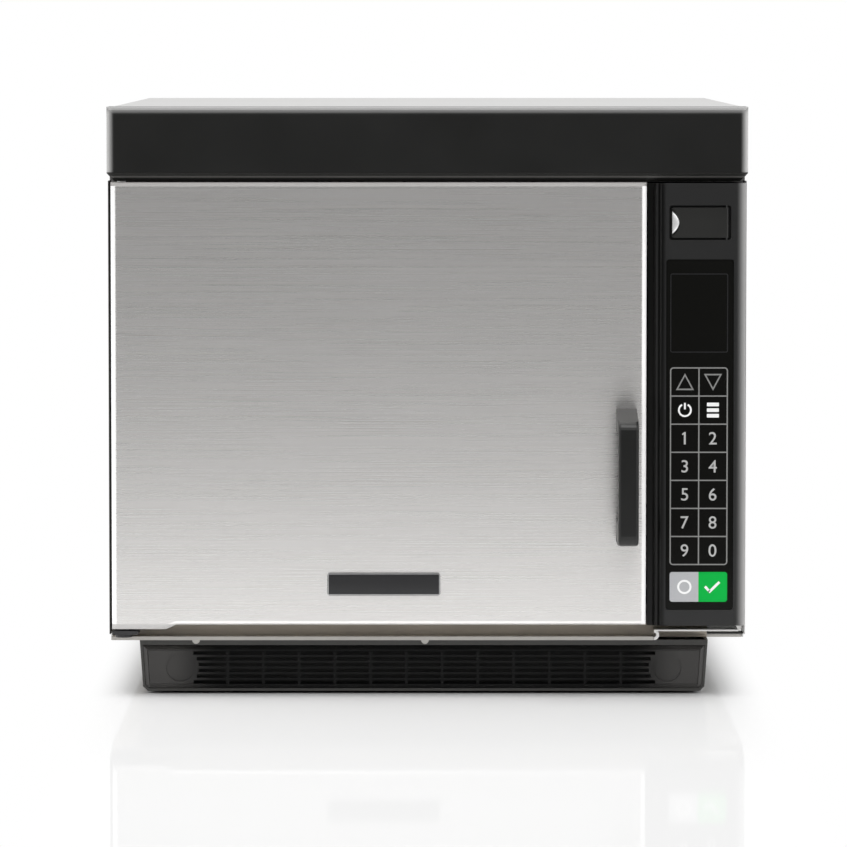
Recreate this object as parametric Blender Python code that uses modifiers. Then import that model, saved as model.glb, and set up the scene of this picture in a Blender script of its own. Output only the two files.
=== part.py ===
"""Countertop speed oven: a steel case round a cooking cavity, with a door hinged on the left.

Frame: +X to the viewer's right, the front faces -Y, +Z up, origin under the middle of the whole oven.
Lengths are in metres. Run with: blender --background --python part.py
"""
import math

import bmesh
import bpy
from mathutils import Matrix, Vector

# Driving dimensions of the whole oven
OVEN_WIDTH = 0.489
OVEN_HEIGHT = 0.452
BODY_DEPTH = 0.615
HANDLE_REACH = 0.052
FRONT_DEPTH = 0.048

# Fits and overruns
GAP = 0.0003
RUNNING_GAP = 0.0006
PLAY = 0.0015
OVERRUN = 0.004

# Sheet and wall thicknesses
CASE_SHEET = 0.0010
SHEET = 0.0012
HEAVY_SHEET = 0.0020
PLASTIC = 0.0025

# Base
FOOT_HEIGHT = 0.0020
FOOT_RADIUS = 0.0150
FOOT_INSET = 0.0350
FOOT_STEM_RADIUS = 0.0045
BASE_LEFT_INSET = 0.0229
BASE_RIGHT_INSET = 0.0283
BASE_FRONT_INSET = 0.0290
BASE_REAR_INSET = 0.0400
PLINTH_TOP = 0.0415
PLINTH_HEADER = 0.0040
PLINTH_LEAN = 0.0027
PLINTH_CORNER = 0.0035

# Air filter panel
FILTER_LIP = 0.0030
FILTER_DEPTH = 0.0120
FILTER_WALL = 0.0032
FILTER_FACE = 0.0025
FILTER_CHAMFER = 0.0028
FILTER_COLUMNS = 13
FILTER_ROWS = 6
SLOT_FIELD_LEFT_INSET = 0.0400
SLOT_FIELD_RIGHT_INSET = 0.0392
SLOT_FIELD_FOOT = 0.0080
SLOT_HEIGHT = 0.0027
SLOT_PITCH = 0.00446
COLUMN_RIB = 0.0022
THUMB_RADIUS = 0.0110
THUMB_DEPTH = 0.0012
THUMB_CLEAR_RADIUS = 0.0143
THUMB_SIDE_INSET = 0.0311
MESH_SHEET = 0.0015

# Front frame, deck and case
SILL_REACH = 0.0240
SILL_HEM = 0.0028
SILL_RIGHT_INSET = 0.0700
SILL_TAB_RADIUS = 0.0030
SILL_TAB_INSET = 0.0665
LEDGE_CURL_SHEET = 0.0022
CASE_RADIUS = 0.0040
CASE_CHEEK_REACH = 0.0250
REAR_RECESS = 0.0150
COMPARTMENT_WINDOW_INSET = 0.0120

# Door outline
DOOR_LEFT_INSET = 0.0031
DOOR_FOOT = 0.0560
DOOR_TOP_GAP = 0.0008
DOOR_HEEL_WIDTH = 0.0413
DOOR_HEEL_DROP = 0.0035
DOOR_HEEL_SLOPE = 0.0077
DOOR_RADIUS = 0.0030
DOOR_RETURN = 0.0380
HINGE_INSET = 0.0085
HINGE_SETBACK = 0.0115
HINGE_PIN_RADIUS = 0.0040
HINGE_PIN_HEAD = 0.0065
HINGE_PIN_REACH = 0.0080
HINGE_BRACKET_WIDTH = 0.0200
HINGE_BRACKET_SHEET = 0.0030
HINGE_BRACKET_LEG = 0.0200

# Door inner frame, choke and latch
CHOKE_END_INSET = 0.0140
CHOKE_BORDER = 0.0090
CHOKE_MOUTH = 0.0170
CHOKE_DEPTH = 0.0190
CHOKE_COVER_SHEET = 0.0015
DOOR_SEAL_GAP = 0.0024
LATCH_BAR_WIDTH = 0.0080
LATCH_BAR_DEPTH = 0.0050
LATCH_BAR_REACH = 0.0250
LATCH_LIFT = 0.0040
HOOK_REACH = 0.0160
HOOK_HEIGHT = 0.0080
HOOK_BARB = 0.0030
HOOK_WIDTH = 0.0030
HOOK_INSET = 0.06935
LATCH_SLOT_MARGIN = 0.0030

# Door handle and badge plate
HANDLE_WIDTH = 0.0155
HANDLE_RIGHT_INSET = 0.0075
HANDLE_RISE = 0.0645
HANDLE_LENGTH = 0.1015
HANDLE_BAR = 0.0140
HANDLE_POST = 0.0170
HANDLE_SLOPE = 0.0070
HANDLE_ROUND = 0.0080
HANDLE_EDGE = 0.0020
HANDLE_SCREW_RADIUS = 0.0025
HANDLE_SCREW_HEAD = 0.0045
HANDLE_SCREW_GRIP = 0.0080
BADGE_WIDTH = 0.0863
BADGE_HEIGHT = 0.0172
BADGE_LEFT = 0.1650
BADGE_RISE = 0.0228
BADGE_SHEET = 0.0012
BADGE_RADIUS = 0.0018

# Top bezel
BEZEL_HEIGHT = 0.0565
BEZEL_RADIUS = 0.0045
BEZEL_CHAMFER = 0.0060

# Control housing
HOUSING_LEFT_GAP = 0.0010
HOUSING_RIGHT_INSET = 0.0015
HOUSING_FOOT = 0.0555
HOUSING_WIDTH = 0.0747
HOUSING_TOP_GAP = 0.0015
HOUSING_SHOULDER = 0.0040
HOUSING_RIDGE_WIDTH = 0.0024
HOUSING_RIDGE_RISE = 0.0030
HOUSING_GROOVE_WIDTH = 0.0020
HOUSING_GROOVE_DEPTH = 0.0010
HOUSING_FLANK = 0.0018
HOUSING_RADIUS = 0.0050
OVERLAY_WIDTH = 0.0512
OVERLAY_RIGHT_INSET = 0.0094
OVERLAY_RISE = 0.0125
OVERLAY_TOP_GAP = 0.0151
OVERLAY_SHEET = 0.0010
OVERLAY_SINK = 0.0004
OVERLAY_RADIUS = 0.0020
DISPLAY_TOP_INSET = 0.0110
DISPLAY_WIDTH = 0.0435
DISPLAY_HEIGHT = 0.0597
DISPLAY_DEPTH = 0.0080
BOARD_SHEET = 0.0016
BOARD_STANDOFF = 0.0110
USB_RECESS_WIDTH = 0.0471
USB_RECESS_HEIGHT = 0.0263
USB_RECESS_TOP_INSET = 0.0169
USB_RECESS_DEPTH = 0.0050
USB_FLAP_WIDTH = 0.0433
USB_FLAP_HEIGHT = 0.0230
USB_FLAP_SHEET = 0.0025
USB_HINGE_RADIUS = 0.0015
USB_PIN_RADIUS = 0.0007
USB_PIN_BITE = 0.0012
USB_SCOOP_RADIUS = 0.0140
USB_SCOOP_WIDTH = 0.0058
USB_PORT_WIDTH = 0.0140
USB_PORT_HEIGHT = 0.0070
USB_PORT_DEPTH = 0.0180

# Cooking cavity
CAVITY_LEFT_INSET = 0.0425
CAVITY_RIGHT_INSET = 0.0393
CAVITY_TOP_INSET = 0.0357
CAVITY_REAR_BAY = 0.1687
CAVITY_FOOT = 0.0920
CAVITY_RADIUS = 0.0100
CERAMIC_SHEET = 0.0050
JACKET_THICKNESS = 0.0180
JACKET_REAR_INSET = 0.0060
DIFFUSER_MARGIN = 0.0200
DIFFUSER_COLUMNS = 9
DIFFUSER_ROWS = 7
DIFFUSER_PITCH = 0.0220
DIFFUSER_HOLE_RADIUS = 0.0065
REAR_WINDOW_INSET = 0.0450

# Rack, guides and grill element
GUIDE_LEVELS = 3
GUIDE_FIRST_LEVEL = 0.0500
GUIDE_PITCH = 0.0550
GUIDE_WEB = 0.0012
GUIDE_LEDGE = 0.0100
GUIDE_END_INSET = 0.0200
RACK_WIRE_RADIUS = 0.0015
RACK_RIM_RADIUS = 0.0025
RACK_END_RADIUS = 0.0022
RACK_BARS = 11
RACK_END_INSET = 0.0255
ELEMENT_RADIUS = 0.0035
ELEMENT_PASSES = 6
ELEMENT_SIDE_INSET = 0.0550
ELEMENT_END_INSET = 0.0655
ELEMENT_DROP = 0.0160
CLIP_SHEET = 0.0015
CLIP_WIDTH = 0.0120

# Antenna, waveguide and magnetron
WELL_RADIUS = 0.0900
WELL_DEPTH = 0.0250
STIRRER_RIM_GAP = 0.0150
STIRRER_CROSS_RADIUS = 0.0600
STIRRER_SHEET = 0.0015
STIRRER_ARM_WIDTH = 0.0320
SHAFT_RADIUS = 0.0030
STIRRER_MOTOR_RADIUS = 0.0220
STIRRER_MOTOR_HEIGHT = 0.0160
DUCT_HALF_WIDTH = 0.0380
DUCT_END_GAP = 0.0200
MAGNETRON_WIDTH = 0.0700
MAGNETRON_DEPTH = 0.0800
MAGNETRON_HEIGHT = 0.0950
MAGNETRON_FINS = 6
MAGNETRON_FIN_GROOVE = 0.0060
ANTENNA_RADIUS = 0.0080
ANTENNA_LENGTH = 0.0120

# Convection unit
PLENUM_MARGIN = 0.0200
PLENUM_DEPTH = 0.0550
PLENUM_FLANGE = 0.0120
FAN_RIM_GAP = 0.0130
FAN_DEPTH = 0.0260
FAN_BLADES = 8
RING_EDGE_GAP = 0.0215
RING_TUBE_RADIUS = 0.0040
RING_GAP_DEG = 16.0
FAN_MOTOR_RADIUS = 0.0420
FAN_MOTOR_LENGTH = 0.0600

# High-voltage parts
TRANSFORMER_WIDTH = 0.0700
TRANSFORMER_DEPTH = 0.0520
TRANSFORMER_HEIGHT = 0.0720
COIL_PROUD = 0.0070
COIL_HEIGHT = 0.0420
CAPACITOR_LENGTH = 0.0900
CAPACITOR_RADIUS = 0.0240
COMPARTMENT_GAP = 0.0060

# Cooling blower
SCROLL_GROWTH = 0.0300
BLOWER_FRONT_GAP = 0.0072
BLOWER_WIDTH = 0.0560
BLOWER_WALL = 0.0020
BLOWER_REAR_INSET = 0.0450
BLOWER_MOUTH_HEIGHT = 0.0600
BLOWER_MOUTH_REACH = 0.0250
BLOWER_INLET_LIP = 0.0080
IMPELLER_RIM_GAP = 0.0080
IMPELLER_SIDE_GAP = 0.0080
IMPELLER_BLADES = 18
IMPELLER_BLADE_DEPTH = 0.0110
IMPELLER_BLADE_SHEET = 0.0014
IMPELLER_BLADE_TILT_DEG = 28.0
BLOWER_MOTOR_RADIUS = 0.0240
BLOWER_MOTOR_LENGTH = 0.0160

# Rear panel
VENT_COLUMNS = 3
VENT_ROWS = 9
VENT_WIDTH = 0.0700
VENT_HEIGHT = 0.0050
VENT_PITCH = 0.0120
VENT_COLUMN_PITCH = 0.0900
VENT_FOOT = 0.2600
GLAND_RADIUS = 0.0110
GLAND_HEAD = 0.0160
GLAND_BORE = 0.0055
GLAND_REACH = 0.0120
GLAND_SIDE_INSET = 0.0600
GLAND_HEIGHT = 0.0900

# Interlock
INTERLOCK_DEPTH = 0.0360
INTERLOCK_WIDTH = 0.0180
INTERLOCK_MARGIN = 0.0250
SWITCH_HEIGHT = 0.0160
SWITCH_DEPTH = 0.0140
SWITCH_WIDTH = 0.0100
PLUNGER_RADIUS = 0.0016

ROUND_SIDES = 24
PIN_SIDES = 16
WIRE_SIDES = 8
HOLE_SIDES = 6
EDGE_PROFILE = 0.5
SHARP_ANGLE = math.radians(32)

# Planes worked out from the driving dimensions
HALF_WIDTH = OVEN_WIDTH / 2
FRONT_Y = HANDLE_REACH - (BODY_DEPTH + HANDLE_REACH) / 2
REAR_Y = (BODY_DEPTH + HANDLE_REACH) / 2
FRAME_Y = FRONT_Y + FRONT_DEPTH
REAR_PANEL_Y = REAR_Y - REAR_RECESS
INNER_HALF = HALF_WIDTH - CASE_SHEET - GAP
DECK_BOTTOM = PLINTH_TOP + GAP
DECK_TOP = DECK_BOTTOM + HEAVY_SHEET
LEDGE_TOP = HOUSING_FOOT - SILL_HEM * 2
LEDGE_LEFT = HALF_WIDTH - SILL_RIGHT_INSET
ROOF = OVEN_HEIGHT - CASE_SHEET
BASE_LEFT = -HALF_WIDTH + BASE_LEFT_INSET
BASE_RIGHT = HALF_WIDTH - BASE_RIGHT_INSET
BASE_FRONT = FRONT_Y + BASE_FRONT_INSET
BASE_REAR = REAR_Y - BASE_REAR_INSET
DOOR_LEFT = -HALF_WIDTH + DOOR_LEFT_INSET
HOUSING_RIGHT = HALF_WIDTH - HOUSING_RIGHT_INSET
HOUSING_LEFT = HOUSING_RIGHT - HOUSING_WIDTH
DOOR_RIGHT = HOUSING_LEFT - HOUSING_LEFT_GAP
BEZEL_FOOT = OVEN_HEIGHT - BEZEL_HEIGHT
DOOR_TOP = BEZEL_FOOT - DOOR_TOP_GAP
DOOR_BACK = FRONT_Y + DOOR_RETURN
HINGE_X = DOOR_LEFT + HINGE_INSET
HINGE_Y = FRONT_Y + HINGE_SETBACK
CAVITY_LEFT = -HALF_WIDTH + CAVITY_LEFT_INSET
CAVITY_RIGHT = DOOR_RIGHT - CAVITY_RIGHT_INSET
CAVITY_TOP = DOOR_TOP - CAVITY_TOP_INSET
CAVITY_MID_X = (CAVITY_LEFT + CAVITY_RIGHT) / 2
CAVITY_MID_Z = (CAVITY_FOOT + CAVITY_TOP) / 2
FRAME_BACK = FRAME_Y + HEAVY_SHEET
CAVITY_FRONT = FRAME_BACK + GAP
CAVITY_REAR = REAR_PANEL_Y - CAVITY_REAR_BAY
CAVITY_MID_Y = (CAVITY_FRONT + CAVITY_REAR) / 2
COMPARTMENT_LEFT = CAVITY_RIGHT + SHEET + GAP + JACKET_THICKNESS + COMPARTMENT_GAP
COMPARTMENT_RIGHT = INNER_HALF - COMPARTMENT_GAP
COMPARTMENT_MID = (COMPARTMENT_LEFT + COMPARTMENT_RIGHT) / 2
HOUSING_TOP = BEZEL_FOOT - HOUSING_TOP_GAP
USB_RECESS_TOP = HOUSING_TOP - USB_RECESS_TOP_INSET
USB_RECESS_FOOT = USB_RECESS_TOP - USB_RECESS_HEIGHT
OVERLAY_FOOT = HOUSING_FOOT + OVERLAY_RISE
OVERLAY_TOP = USB_RECESS_FOOT - OVERLAY_TOP_GAP
DISPLAY_TOP = OVERLAY_TOP - DISPLAY_TOP_INSET
DISPLAY_FOOT = DISPLAY_TOP - DISPLAY_HEIGHT
OVERLAY_RIGHT = HOUSING_RIGHT - OVERLAY_RIGHT_INSET
OVERLAY_LEFT = OVERLAY_RIGHT - OVERLAY_WIDTH
FRAME_FOOT = DECK_TOP + GAP
DOOR_PARTS_REAR = FRAME_Y - DOOR_SEAL_GAP
LATCH_X = DOOR_RIGHT - SHEET - LATCH_SLOT_MARGIN - LATCH_BAR_WIDTH / 2
LATCH_MID_Z = (DOOR_FOOT + DOOR_TOP) / 2
HANDLE_FOOT = DOOR_FOOT + HANDLE_RISE
BADGE_FOOT = DOOR_FOOT + BADGE_RISE
WELL_TOP = CAVITY_FOOT - SHEET - GAP
WELL_FLOOR = WELL_TOP - WELL_DEPTH
DUCT_END = COMPARTMENT_RIGHT - DUCT_END_GAP
MAGNETRON_X = COMPARTMENT_MID
STIRRER_RADIUS = WELL_RADIUS - STIRRER_RIM_GAP
TRANSFORMER_FRONT = CAVITY_MID_Y + DUCT_HALF_WIDTH + COMPARTMENT_GAP
TRANSFORMER_REAR = TRANSFORMER_FRONT + TRANSFORMER_DEPTH + COIL_PROUD * 2
CAPACITOR_Y = CAVITY_MID_Y - DUCT_HALF_WIDTH - CAPACITOR_RADIUS - COMPARTMENT_GAP * 3


# Scene and collections
def clear_scene():
    """Removes every object that the file opened with."""
    for thing in list(bpy.data.objects):
        bpy.data.objects.remove(thing, do_unlink=True)


def add_collection(name):
    """Adds a collection to the scene."""
    collection = bpy.data.collections.new(name)
    bpy.context.scene.collection.children.link(collection)
    return collection


clear_scene()
PARTS = add_collection("speed_oven")
CUTTERS = add_collection("cutters")


def finish(name, colour, roughness, metallic):
    """A Principled material with the piece's own colour, roughness and metallic value."""
    material = bpy.data.materials.new(name)
    material.use_nodes = True
    shader = material.node_tree.nodes["Principled BSDF"]
    shader.inputs["Base Color"].default_value = (*colour, 1.0)
    shader.inputs["Roughness"].default_value = roughness
    shader.inputs["Metallic"].default_value = metallic
    return material


STEEL = finish("brushed_steel", (0.62, 0.61, 0.59), 0.34, 1.0)
LINER_STEEL = finish("liner_steel", (0.58, 0.58, 0.57), 0.28, 1.0)
ZINC = finish("zinc_plate", (0.55, 0.56, 0.56), 0.42, 1.0)
BLACK = finish("black_moulding", (0.020, 0.020, 0.021), 0.38, 0.0)
GLOSS = finish("gloss_overlay", (0.010, 0.010, 0.011), 0.12, 0.0)
PAINT = finish("black_paint", (0.035, 0.034, 0.033), 0.48, 0.0)
RUBBER = finish("rubber", (0.025, 0.025, 0.025), 0.75, 0.0)
CERAMIC = finish("ceramic", (0.72, 0.70, 0.66), 0.45, 0.0)
WOOL = finish("mineral_wool", (0.62, 0.60, 0.52), 0.95, 0.0)
BOARD = finish("circuit_board", (0.03, 0.16, 0.07), 0.5, 0.0)
COPPER = finish("copper_winding", (0.55, 0.26, 0.12), 0.4, 1.0)
DARK_STEEL = finish("dark_element", (0.10, 0.095, 0.09), 0.5, 1.0)


# Placing
def add_axis(name, place, parent=None):
    """An empty on a joint's axis, which carries the pieces that move with it."""
    empty = bpy.data.objects.new(name, None)
    empty.empty_display_size = HINGE_PIN_HEAD
    PARTS.objects.link(empty)
    settle(empty, Vector(place), parent)
    return empty


def settle(thing, place, parent):
    """Puts an object at a place in the oven's frame, under its parent if it has one."""
    thing.parent = parent
    above = Vector((0, 0, 0))
    while parent is not None:
        above += parent.location
        parent = parent.parent
    thing.location = place - above


def add_part(name, bm, material, place=(0, 0, 0), parent=None, smooth=True, closed=True):
    """Turns a mesh built in the oven's frame into a named piece with its origin at a place.

    A drawn pan isn't closed yet, and keeps the way its faces look.
    """
    place = Vector(place)
    bmesh.ops.translate(bm, verts=bm.verts, vec=-place)
    if closed:
        bmesh.ops.recalc_face_normals(bm, faces=bm.faces)
    mesh = bpy.data.meshes.new(name)
    bm.to_mesh(mesh)
    bm.free()
    if smooth:
        mesh.shade_smooth()
        mesh.set_sharp_from_angle(angle=SHARP_ANGLE)
    mesh.materials.append(material)
    part = bpy.data.objects.new(name, mesh)
    PARTS.objects.link(part)
    settle(part, place, parent)
    return part


def as_cutter(thing):
    """Moves an object among the cutters."""
    for collection in list(thing.users_collection):
        collection.objects.unlink(thing)
    CUTTERS.objects.link(thing)
    thing.hide_render = True
    thing.display_type = "WIRE"
    return thing


def add_cutter(name, bm):
    """A cutter built in the oven's frame."""
    return as_cutter(add_part(name, bm, ZINC, smooth=False))


def boolean(part, tool, operation):
    """Cuts one object with another, or joins them."""
    modifier = part.modifiers.new(tool.name, "BOOLEAN")
    modifier.operation = operation
    modifier.solver = "EXACT"
    modifier.object = tool


def cut(part, name, bm):
    """Cuts a piece with a mesh built in the oven's frame."""
    boolean(part, add_cutter(name, bm), "DIFFERENCE")


def join(part, name, bm):
    """Joins a mesh built in the oven's frame to a piece."""
    boolean(part, add_cutter(name, bm), "UNION")


def solidify(part, thickness, offset=-1.0):
    """Gives an open surface its wall; -1 puts the wall behind the faces."""
    modifier = part.modifiers.new("wall", "SOLIDIFY")
    modifier.thickness = thickness
    modifier.offset = offset
    modifier.use_even_offset = True
    modifier.use_quality_normals = True


# Mesh builders, all in the oven's frame
def add_box(bm, low, high):
    """A box between two corners."""
    low = Vector(low)
    high = Vector(high)
    size = high - low
    matrix = Matrix.Translation((low + high) / 2) @ Matrix.Diagonal((*size, 1))
    return bmesh.ops.create_cube(bm, size=1, matrix=matrix)["verts"]


def box(low, high):
    """A new mesh that holds one box."""
    bm = bmesh.new()
    add_box(bm, low, high)
    return bm


def add_rod(bm, radius, start, end, sides=PIN_SIDES, end_radius=None):
    """A round bar, or a cone, between two points."""
    start = Vector(start)
    end = Vector(end)
    along = end - start
    turn = along.to_track_quat("Z", "Y").to_matrix().to_4x4()
    matrix = Matrix.Translation((start + end) / 2) @ turn
    tip = radius if end_radius is None else end_radius
    return bmesh.ops.create_cone(
        bm, cap_ends=True, segments=sides, radius1=radius, radius2=tip, depth=along.length, matrix=matrix
    )["verts"]


def rod(radius, start, end, sides=PIN_SIDES, end_radius=None):
    """A new mesh that holds one round bar."""
    bm = bmesh.new()
    add_rod(bm, radius, start, end, sides, end_radius)
    return bm


def side_faces(bm, normal):
    """The faces of a mesh that look one way."""
    normal = Vector(normal)
    bmesh.ops.recalc_face_normals(bm, faces=bm.faces)
    return [face for face in bm.faces if face.normal.dot(normal) > math.cos(SHARP_ANGLE)]


def open_side(bm, *normals):
    """Takes off the faces of a mesh that look the given ways."""
    for normal in normals:
        bmesh.ops.delete(bm, geom=side_faces(bm, normal), context="FACES")


def edges_along(bm, direction, keep=None):
    """The edges of a mesh that run along a direction, and pass a test on their middle if one is given."""
    direction = Vector(direction)
    found = []
    for edge in bm.edges:
        run = (edge.verts[1].co - edge.verts[0].co).normalized()
        middle = (edge.verts[1].co + edge.verts[0].co) / 2
        if abs(run.dot(direction)) > math.cos(SHARP_ANGLE) and (keep is None or keep(middle)):
            found.append(edge)
    return found


def round_edges(bm, edges, radius, segments=3):
    """Rounds chosen edges of a mesh."""
    bmesh.ops.bevel(bm, geom=edges, offset=radius, segments=segments, profile=EDGE_PROFILE, affect="EDGES")


def arc(centre, radius, start_deg, end_deg, steps):
    """Points along a round stretch of an outline, both ends included."""
    points = []
    for step in range(steps + 1):
        angle = math.radians(start_deg + (end_deg - start_deg) * step / steps)
        points.append((centre[0] + radius * math.cos(angle), centre[1] + radius * math.sin(angle)))
    return points


def extruded(outline, low, high, axis):
    """A flat outline drawn out along X, Y or Z, as a filled 2D curve with depth, taken over as a mesh."""
    curve = bpy.data.curves.new("outline", "CURVE")
    curve.dimensions = "2D"
    curve.fill_mode = "BOTH"
    curve.extrude = (high - low) / 2
    curve.render_resolution_u = 0
    spline = curve.splines.new("POLY")
    spline.points.add(len(outline) - 1)
    for point, (across, up) in zip(spline.points, outline):
        point.co = (across, up, 0, 1)
    spline.use_cyclic_u = True
    thing = bpy.data.objects.new("outline", curve)
    PARTS.objects.link(thing)
    evaluated = thing.evaluated_get(bpy.context.evaluated_depsgraph_get())
    mesh = bpy.data.meshes.new_from_object(evaluated)
    bpy.data.objects.remove(thing, do_unlink=True)
    bm = bmesh.new()
    bm.from_mesh(mesh)
    bpy.data.meshes.remove(mesh)
    bmesh.ops.remove_doubles(bm, verts=bm.verts, dist=GAP / 10)
    flat = (high - low) / 2
    turns = {
        "X": Matrix(((0, 0, 1, 0), (1, 0, 0, 0), (0, 1, 0, 0), (0, 0, 0, 1))),
        "Y": Matrix(((1, 0, 0, 0), (0, 0, -1, 0), (0, 1, 0, 0), (0, 0, 0, 1))),
        "Z": Matrix.Identity(4),
    }
    shift = {"X": (low + flat, 0, 0), "Y": (0, low + flat, 0), "Z": (0, 0, low + flat)}
    bmesh.ops.transform(bm, matrix=Matrix.Translation(shift[axis]) @ turns[axis], verts=bm.verts)
    bmesh.ops.dissolve_limit(bm, angle_limit=math.radians(1), verts=bm.verts, edges=bm.edges)
    bmesh.ops.recalc_face_normals(bm, faces=bm.faces)
    return bm


def stepped_pan(low, high, plane, steps):
    """A sheet in the XZ plane drawn into a pan: each step insets the middle, pushes it along Y, or opens it."""
    bm = bmesh.new()
    middle = Vector(((low[0] + high[0]) / 2, plane, (low[1] + high[1]) / 2))
    upright = Matrix.Rotation(math.pi / 2, 4, "X")
    spread = Matrix.Diagonal((high[0] - low[0], high[1] - low[1], 1, 1))
    matrix = Matrix.Translation(middle) @ upright @ spread
    bmesh.ops.create_grid(bm, x_segments=1, y_segments=1, size=1 / 2, matrix=matrix)
    face = bm.faces[:][0]
    for kind, amount in steps:
        if kind == "inset":
            bmesh.ops.inset_individual(bm, faces=[face], thickness=amount, use_even_offset=True)
        elif kind == "open":
            bmesh.ops.delete(bm, geom=[face], context="FACES_ONLY")
        else:
            made = bmesh.ops.extrude_discrete_faces(bm, faces=[face])["faces"]
            face = made[0]
            bmesh.ops.translate(bm, verts=face.verts, vec=(0, amount, 0))
    return bm


def tube(points, radius, sides, cyclic=False):
    """A round wire through points, as a POLY curve with a bevel and filled caps, taken over as a mesh."""
    curve = bpy.data.curves.new("wire", "CURVE")
    curve.dimensions = "3D"
    curve.bevel_depth = radius
    curve.bevel_resolution = max(0, sides // 2 - 2)
    curve.use_fill_caps = True
    curve.render_resolution_u = 0
    spline = curve.splines.new("POLY")
    spline.points.add(len(points) - 1)
    for point, place in zip(spline.points, points):
        point.co = (*place, 1)
    spline.use_cyclic_u = cyclic
    thing = bpy.data.objects.new("wire", curve)
    PARTS.objects.link(thing)
    evaluated = thing.evaluated_get(bpy.context.evaluated_depsgraph_get())
    mesh = bpy.data.meshes.new_from_object(evaluated)
    bpy.data.objects.remove(thing, do_unlink=True)
    bm = bmesh.new()
    bm.from_mesh(mesh)
    bpy.data.meshes.remove(mesh)
    bmesh.ops.remove_doubles(bm, verts=bm.verts, dist=GAP / 10)
    bmesh.ops.recalc_face_normals(bm, faces=bm.faces)
    return bm


def turned(profile, place, direction, sides, material, name, parent=None):
    """A turned piece: a profile of radius and height pairs, closed for a ring, with a Screw modifier."""
    mesh = bpy.data.meshes.new(name)
    ring = profile[0] == profile[-1]
    verts = [(radius, 0, height) for radius, height in profile[: len(profile) - ring]]
    edges = [(index, (index + 1) % len(verts)) for index in range(len(profile) - 1)]
    mesh.from_pydata(verts, edges, [])
    mesh.materials.append(material)
    part = bpy.data.objects.new(name, mesh)
    PARTS.objects.link(part)
    modifier = part.modifiers.new("turn", "SCREW")
    modifier.steps = sides
    modifier.render_steps = sides
    modifier.use_merge_vertices = True
    modifier.merge_threshold = GAP / 10
    modifier.use_smooth_shade = True
    part.rotation_euler = Vector(direction).to_track_quat("Z", "Y").to_euler()
    settle(part, Vector(place), parent)
    return part


# Base: plinth, feet, air filter panel and its mesh
def base_block(inset, front, back, top):
    """A block as wide as the plinth less an inset, with its leaning sides and its cut lower corners."""
    foot = FOOT_HEIGHT + inset
    bm = box((BASE_LEFT + inset, front, foot), (BASE_RIGHT - inset, back, top))
    centre_x = (BASE_LEFT + BASE_RIGHT) / 2
    for vert in bm.verts:
        share = (PLINTH_TOP - vert.co.z) / (PLINTH_TOP - FOOT_HEIGHT)
        vert.co.x -= math.copysign(PLINTH_LEAN * share, vert.co.x - centre_x)
    corner = PLINTH_CORNER - inset * (2 - math.sqrt(2))
    if corner > GAP:
        lower = edges_along(bm, (0, 1, 0), lambda middle: middle.z < foot + GAP)
        round_edges(bm, lower, corner, 1)
    return bm


def build_base():
    """The black sheet plinth, open at the top for the air and at the front for the filter panel."""
    bm = base_block(0, BASE_FRONT, BASE_REAR, PLINTH_TOP)
    open_side(bm, (0, 0, 1))
    plinth = add_part("base_plinth", bm, PAINT, smooth=False)
    solidify(plinth, HEAVY_SHEET)
    inner_foot = FOOT_HEIGHT + HEAVY_SHEET
    mouth = base_block(HEAVY_SHEET, BASE_FRONT - OVERRUN, BASE_FRONT + OVERRUN, PLINTH_TOP - PLINTH_HEADER)
    cut(plinth, "filter_mouth_cutter", mouth)
    foot_holes = bmesh.new()
    across = (BASE_LEFT + FOOT_INSET, BASE_RIGHT - FOOT_INSET)
    along = (BASE_FRONT + FOOT_INSET, BASE_REAR - FOOT_INSET)
    for side, x in zip(("left", "right"), across):
        for end, y in zip(("front", "rear"), along):
            add_rod(
                foot_holes,
                FOOT_STEM_RADIUS + GAP,
                (x, y, FOOT_HEIGHT - OVERRUN),
                (x, y, inner_foot + OVERRUN),
            )
            profile = [
                (0, inner_foot),
                (FOOT_STEM_RADIUS, inner_foot),
                (FOOT_STEM_RADIUS, FOOT_HEIGHT - GAP),
                (FOOT_RADIUS, FOOT_HEIGHT - GAP),
                (FOOT_RADIUS, 0),
                (0, 0),
            ]
            turned(profile, (x, y, 0), (0, 0, 1), PIN_SIDES, RUBBER, f"foot_{end}_{side}")
    cut(plinth, "foot_stem_cutter", foot_holes)
    vents = bmesh.new()
    for row in range(VENT_ROWS):
        y = (BASE_FRONT + BASE_REAR) / 2 + (row - (VENT_ROWS - 1) / 2) * VENT_PITCH * 2
        add_box(
            vents,
            (BASE_LEFT - OVERRUN, y - VENT_HEIGHT / 2, inner_foot + FILTER_LIP * 2),
            (BASE_RIGHT + OVERRUN, y + VENT_HEIGHT / 2, PLINTH_TOP - PLINTH_HEADER * 2),
        )
    cut(plinth, "plinth_vent_cutter", vents)


def filter_bounds():
    """The filter panel's left, right, foot and top."""
    left = BASE_LEFT + HEAVY_SHEET + GAP
    right = BASE_RIGHT - HEAVY_SHEET - GAP
    return left, right, FOOT_HEIGHT + HEAVY_SHEET + GAP, PLINTH_TOP - PLINTH_HEADER - GAP


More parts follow.
